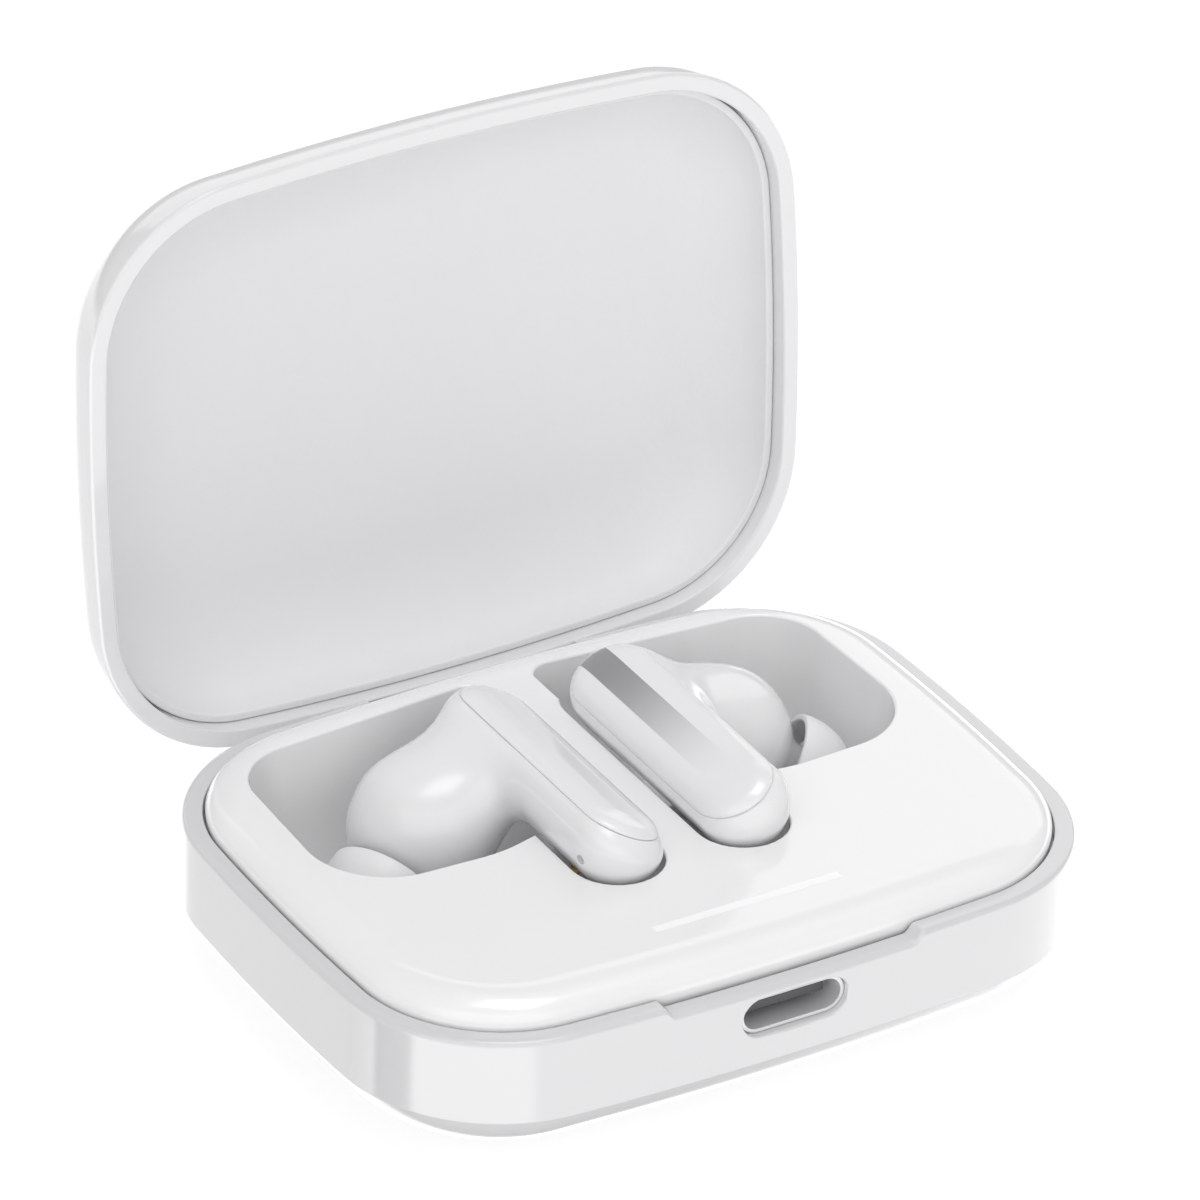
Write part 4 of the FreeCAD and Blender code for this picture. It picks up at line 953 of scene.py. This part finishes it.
def make_ear_tips():
    dome = [(1.95, 9.93), (2.6, 9.82), (3.35, 9.3), (4.05, 8.2), (4.42, 6.9), (4.5, 6.0), (4.44, 5.35)]
    outside = eased(dome, 6)
    hem = rounded([(4.44, 5.35, 0), (4.38, 5.1, 0.12), (3.95, 5.1, 0.12), (3.9, 5.4, 0)], 4)
    lining = eased([(3.92, 5.6), (3.95, 6.4), (3.72, 7.6), (3.2, 8.4), (2.78, 8.6)], 5)
    sleeve = [(2.75, 8.3), (2.75, 6.35), (2.65, 6.27), (2.2, 6.27), (2.15, 6.35), (2.15, 9.0)]
    sleeve.append((1.5, 9.0))
    mouth = [(1.5, 9.65), (1.56, 9.82), (1.72, 9.92)]
    profile = [*outside, *hem[1:], *lining, *sleeve, *mouth]
    tip = turned(profile[::-1], HEAD_CENTRE, NOZZLE_WAY)
    for label, side in SIDES.items():
        shape = tip if side > 0 else tip.mapped(MIRROR)
        piece = make_object(f"{label}_tip", shape, SILICONE)
        finished(piece, f"{label}_bud", "silicone", f"{label}_ear_tip")


def add_painted_reflection(material):
    """Paints a reflection of the lid's shaded lining into the colour of the right plate's flat top: a
    dark grey band, from nothing at mid-length to dark at the rear.
    """
    nodes = material.node_tree.nodes
    links = material.node_tree.links
    shader = nodes["Principled BSDF"]
    paint = shader.inputs["Base Color"].links[0].from_socket
    place = nodes.new("ShaderNodeTexCoord")
    offset = nodes.new("ShaderNodeVectorMath")
    offset.operation = "SUBTRACT"
    offset.inputs[1].default_value = SEAM * MM
    links.new(place.outputs["Object"], offset.inputs[0])
    across = nodes.new("ShaderNodeVectorMath")
    across.operation = "DOT_PRODUCT"
    across.inputs[1].default_value = ACROSS
    links.new(offset.outputs["Vector"], across.inputs[0])
    size = nodes.new("ShaderNodeMath")
    size.operation = "ABSOLUTE"
    links.new(across.outputs["Value"], size.inputs[0])
    edge = nodes.new("ShaderNodeMapRange")
    edge.inputs["From Min"].default_value = PAINTED_REFLECTION_HALF * MM
    edge.inputs["From Max"].default_value = (PAINTED_REFLECTION_HALF + PAINTED_REFLECTION_EDGE) * MM
    edge.inputs["To Min"].default_value = 1.0
    edge.inputs["To Max"].default_value = 0.0
    links.new(size.outputs["Value"], edge.inputs["Value"])
    parts = nodes.new("ShaderNodeSeparateXYZ")
    links.new(place.outputs["Object"], parts.inputs["Vector"])
    fade = nodes.new("ShaderNodeMapRange")
    fade.interpolation_type = "SMOOTHSTEP"
    fade.inputs["From Min"].default_value = PAINTED_REFLECTION_ENDS[0] * MM
    fade.inputs["From Max"].default_value = PAINTED_REFLECTION_ENDS[1] * MM
    links.new(parts.outputs["Y"], fade.inputs["Value"])
    amount = nodes.new("ShaderNodeMath")
    amount.operation = "MULTIPLY"
    links.new(edge.outputs["Result"], amount.inputs[0])
    links.new(fade.outputs["Result"], amount.inputs[1])
    # Mixes the painted reflection's dark grey into the plate's colour.
    mix = nodes.new("ShaderNodeMix")
    mix.data_type = "RGBA"
    links.new(amount.outputs["Value"], mix.inputs["Factor"])
    links.new(paint, mix.inputs[6])
    mix.inputs[7].default_value = (*PAINTED_REFLECTION_GREY, 1.0)
    links.new(mix.outputs[2], shader.inputs["Base Color"])


make_bud_bodies()
make_bud_plates()
make_contacts()
# Paints the dark reflection of the lid's lining into the right plate's colour.
add_painted_reflection(PLATE_PAINTED_REFLECTION)
make_ear_tips()

# ---- carried-over CAD nodes --------------------------------------------------------------------

for node, thing in frame["nodes"].items():
    for slot in thing.material_slots:
        key = slot.material.name.split(".")[0] if slot.material else ""
        slot.material = SLOT_MATERIALS.get(key, SHELL_WHITE_PAINTED_SHADE)
        if node == "usb_receptacle":
            slot.material = PORT_STEEL

# ---- floor, light and camera -------------------------------------------------------------------


def make_floor():
    mesh = bpy.data.meshes.new("floor")
    half = 1.5
    corners = [(-half, -half, 0), (half, -half, 0), (half, half, 0), (-half, half, 0)]
    mesh.from_pydata(corners, [], [(0, 1, 2, 3)])
    floor = bpy.data.objects.new("floor", mesh)
    bpy.context.scene.collection.objects.link(floor)
    paper = moulded("pale_paper_floor", (0.5, 0.5, 0.5), 0.9, bump=0.0)
    shader = paper.node_tree.nodes["Principled BSDF"]
    shader.inputs["Emission Color"].default_value = (1.0, 1.0, 1.0, 1.0)
    shader.inputs["Emission Strength"].default_value = 0.62
    mesh.materials.append(paper)
    floor.visible_glossy = False


# What the glossy shells mirror: the way to each soft patch (azimuth, elevation), its half-widths
# across and up, its soft edge, all in degrees, and how much brightness it adds.
SKY_LEVEL = 0.53
BELOW_LEVEL = 1.7
PATCHES = [
    ((172, -31), (12, 25), 6, -1.45),
    ((225, -31), (34, 25), 8, 0.9),
    ((118, -31), (28, 25), 30, -0.7),
    ((0, -90), (32, 32), 12, -1.2),
    ((58, 31), (40, 18), 6, 0.7),
    ((-50, 82), (13, 13), 10, 2.4),
    ((-122, 32), (40, 25), 20, 0.8),
]


def make_world():
    world = bpy.data.worlds.new("studio")
    world.use_nodes = True
    nodes = world.node_tree.nodes
    links = world.node_tree.links
    sky = nodes["Background"]
    sky.inputs["Strength"].default_value = 1.0
    way = nodes.new("ShaderNodeTexCoord").outputs["Generated"]

    def dot(vector):
        node = nodes.new("ShaderNodeVectorMath")
        node.operation = "DOT_PRODUCT"
        node.inputs[1].default_value = vector
        links.new(way, node.inputs[0])
        return node.outputs["Value"]

    def combine(operation, first, second):
        node = nodes.new("ShaderNodeMath")
        node.operation = operation
        for socket, value in zip(node.inputs, (first, second)):
            if isinstance(value, float):
                socket.default_value = value
            else:
                links.new(value, socket)
        return node.outputs["Value"]

    def ramp(value, start, end, low, high):
        node = nodes.new("ShaderNodeMapRange")
        node.interpolation_type = "SMOOTHSTEP"
        for socket, number in zip(list(node.inputs)[1:5], (start, end, low, high)):
            socket.default_value = number
        links.new(value, node.inputs["Value"])
        return node.outputs["Result"]

    level = ramp(dot((0, 0, 1)), -0.12, 0.0, BELOW_LEVEL, SKY_LEVEL)
    for (azimuth, elevation), widths, edge, extra in PATCHES:
        a, e = math.radians(azimuth), math.radians(elevation)
        middle = Vector((math.cos(a) * math.cos(e), math.sin(a) * math.cos(e), math.sin(e)))
        side = Vector((-math.sin(a), math.cos(a), 0.0))
        masks = []
        for axis, width in zip((side, middle.cross(side)), widths):
            angle = combine("ARCTAN2", dot(axis), dot(middle))
            size = combine("ABSOLUTE", angle, 0.0)
            inner, outer = math.radians(width - edge / 2), math.radians(width + edge / 2)
            masks.append(ramp(size, inner, outer, 1.0, 0.0))
        patch = combine("MULTIPLY", combine("MULTIPLY", *masks), float(extra))
        level = combine("ADD", level, patch)
    links.new(level, sky.inputs["Color"])
    bpy.context.scene.world = world


def softbox(name, place, aim, width, height, power):
    data = bpy.data.lights.new(name, "AREA")
    data.shape = "RECTANGLE"
    data.size = width
    data.size_y = height
    data.energy = power
    lamp = bpy.data.objects.new(name, data)
    lamp.location = place
    lamp.rotation_euler = (Vector(aim) - Vector(place)).to_track_quat("-Z", "Y").to_euler()
    bpy.context.scene.collection.objects.link(lamp)


def make_camera():
    turn, tilt, roll = (math.radians(angle) for angle in (-31.821, 31.249, 2.03))
    target = Vector((-2.92, 0.50, 32.14)) * MM
    back = Vector((math.sin(turn) * math.cos(tilt), -math.cos(turn) * math.cos(tilt), math.sin(tilt)))
    right = Vector((math.cos(turn), math.sin(turn), 0))
    up = back.cross(right)
    across = right * math.cos(roll) + up * math.sin(roll)
    upward = up * math.cos(roll) - right * math.sin(roll)
    data = bpy.data.cameras.new("camera")
    data.sensor_width = 36
    data.lens = 289.7
    data.clip_end = 10
    camera = bpy.data.objects.new("camera", data)
    axes = Matrix((across, upward, back)).transposed().to_4x4()
    camera.matrix_world = Matrix.Translation(target + back * 712.2 * MM) @ axes
    bpy.context.scene.collection.objects.link(camera)
    bpy.context.scene.camera = camera


make_floor()
make_world()
softbox("top_softbox", (0.1, -0.1, 0.9), (0, 0, 0), 0.8, 0.8, 0.6)
make_camera()
bpy.context.scene.view_settings.view_transform = "Standard"
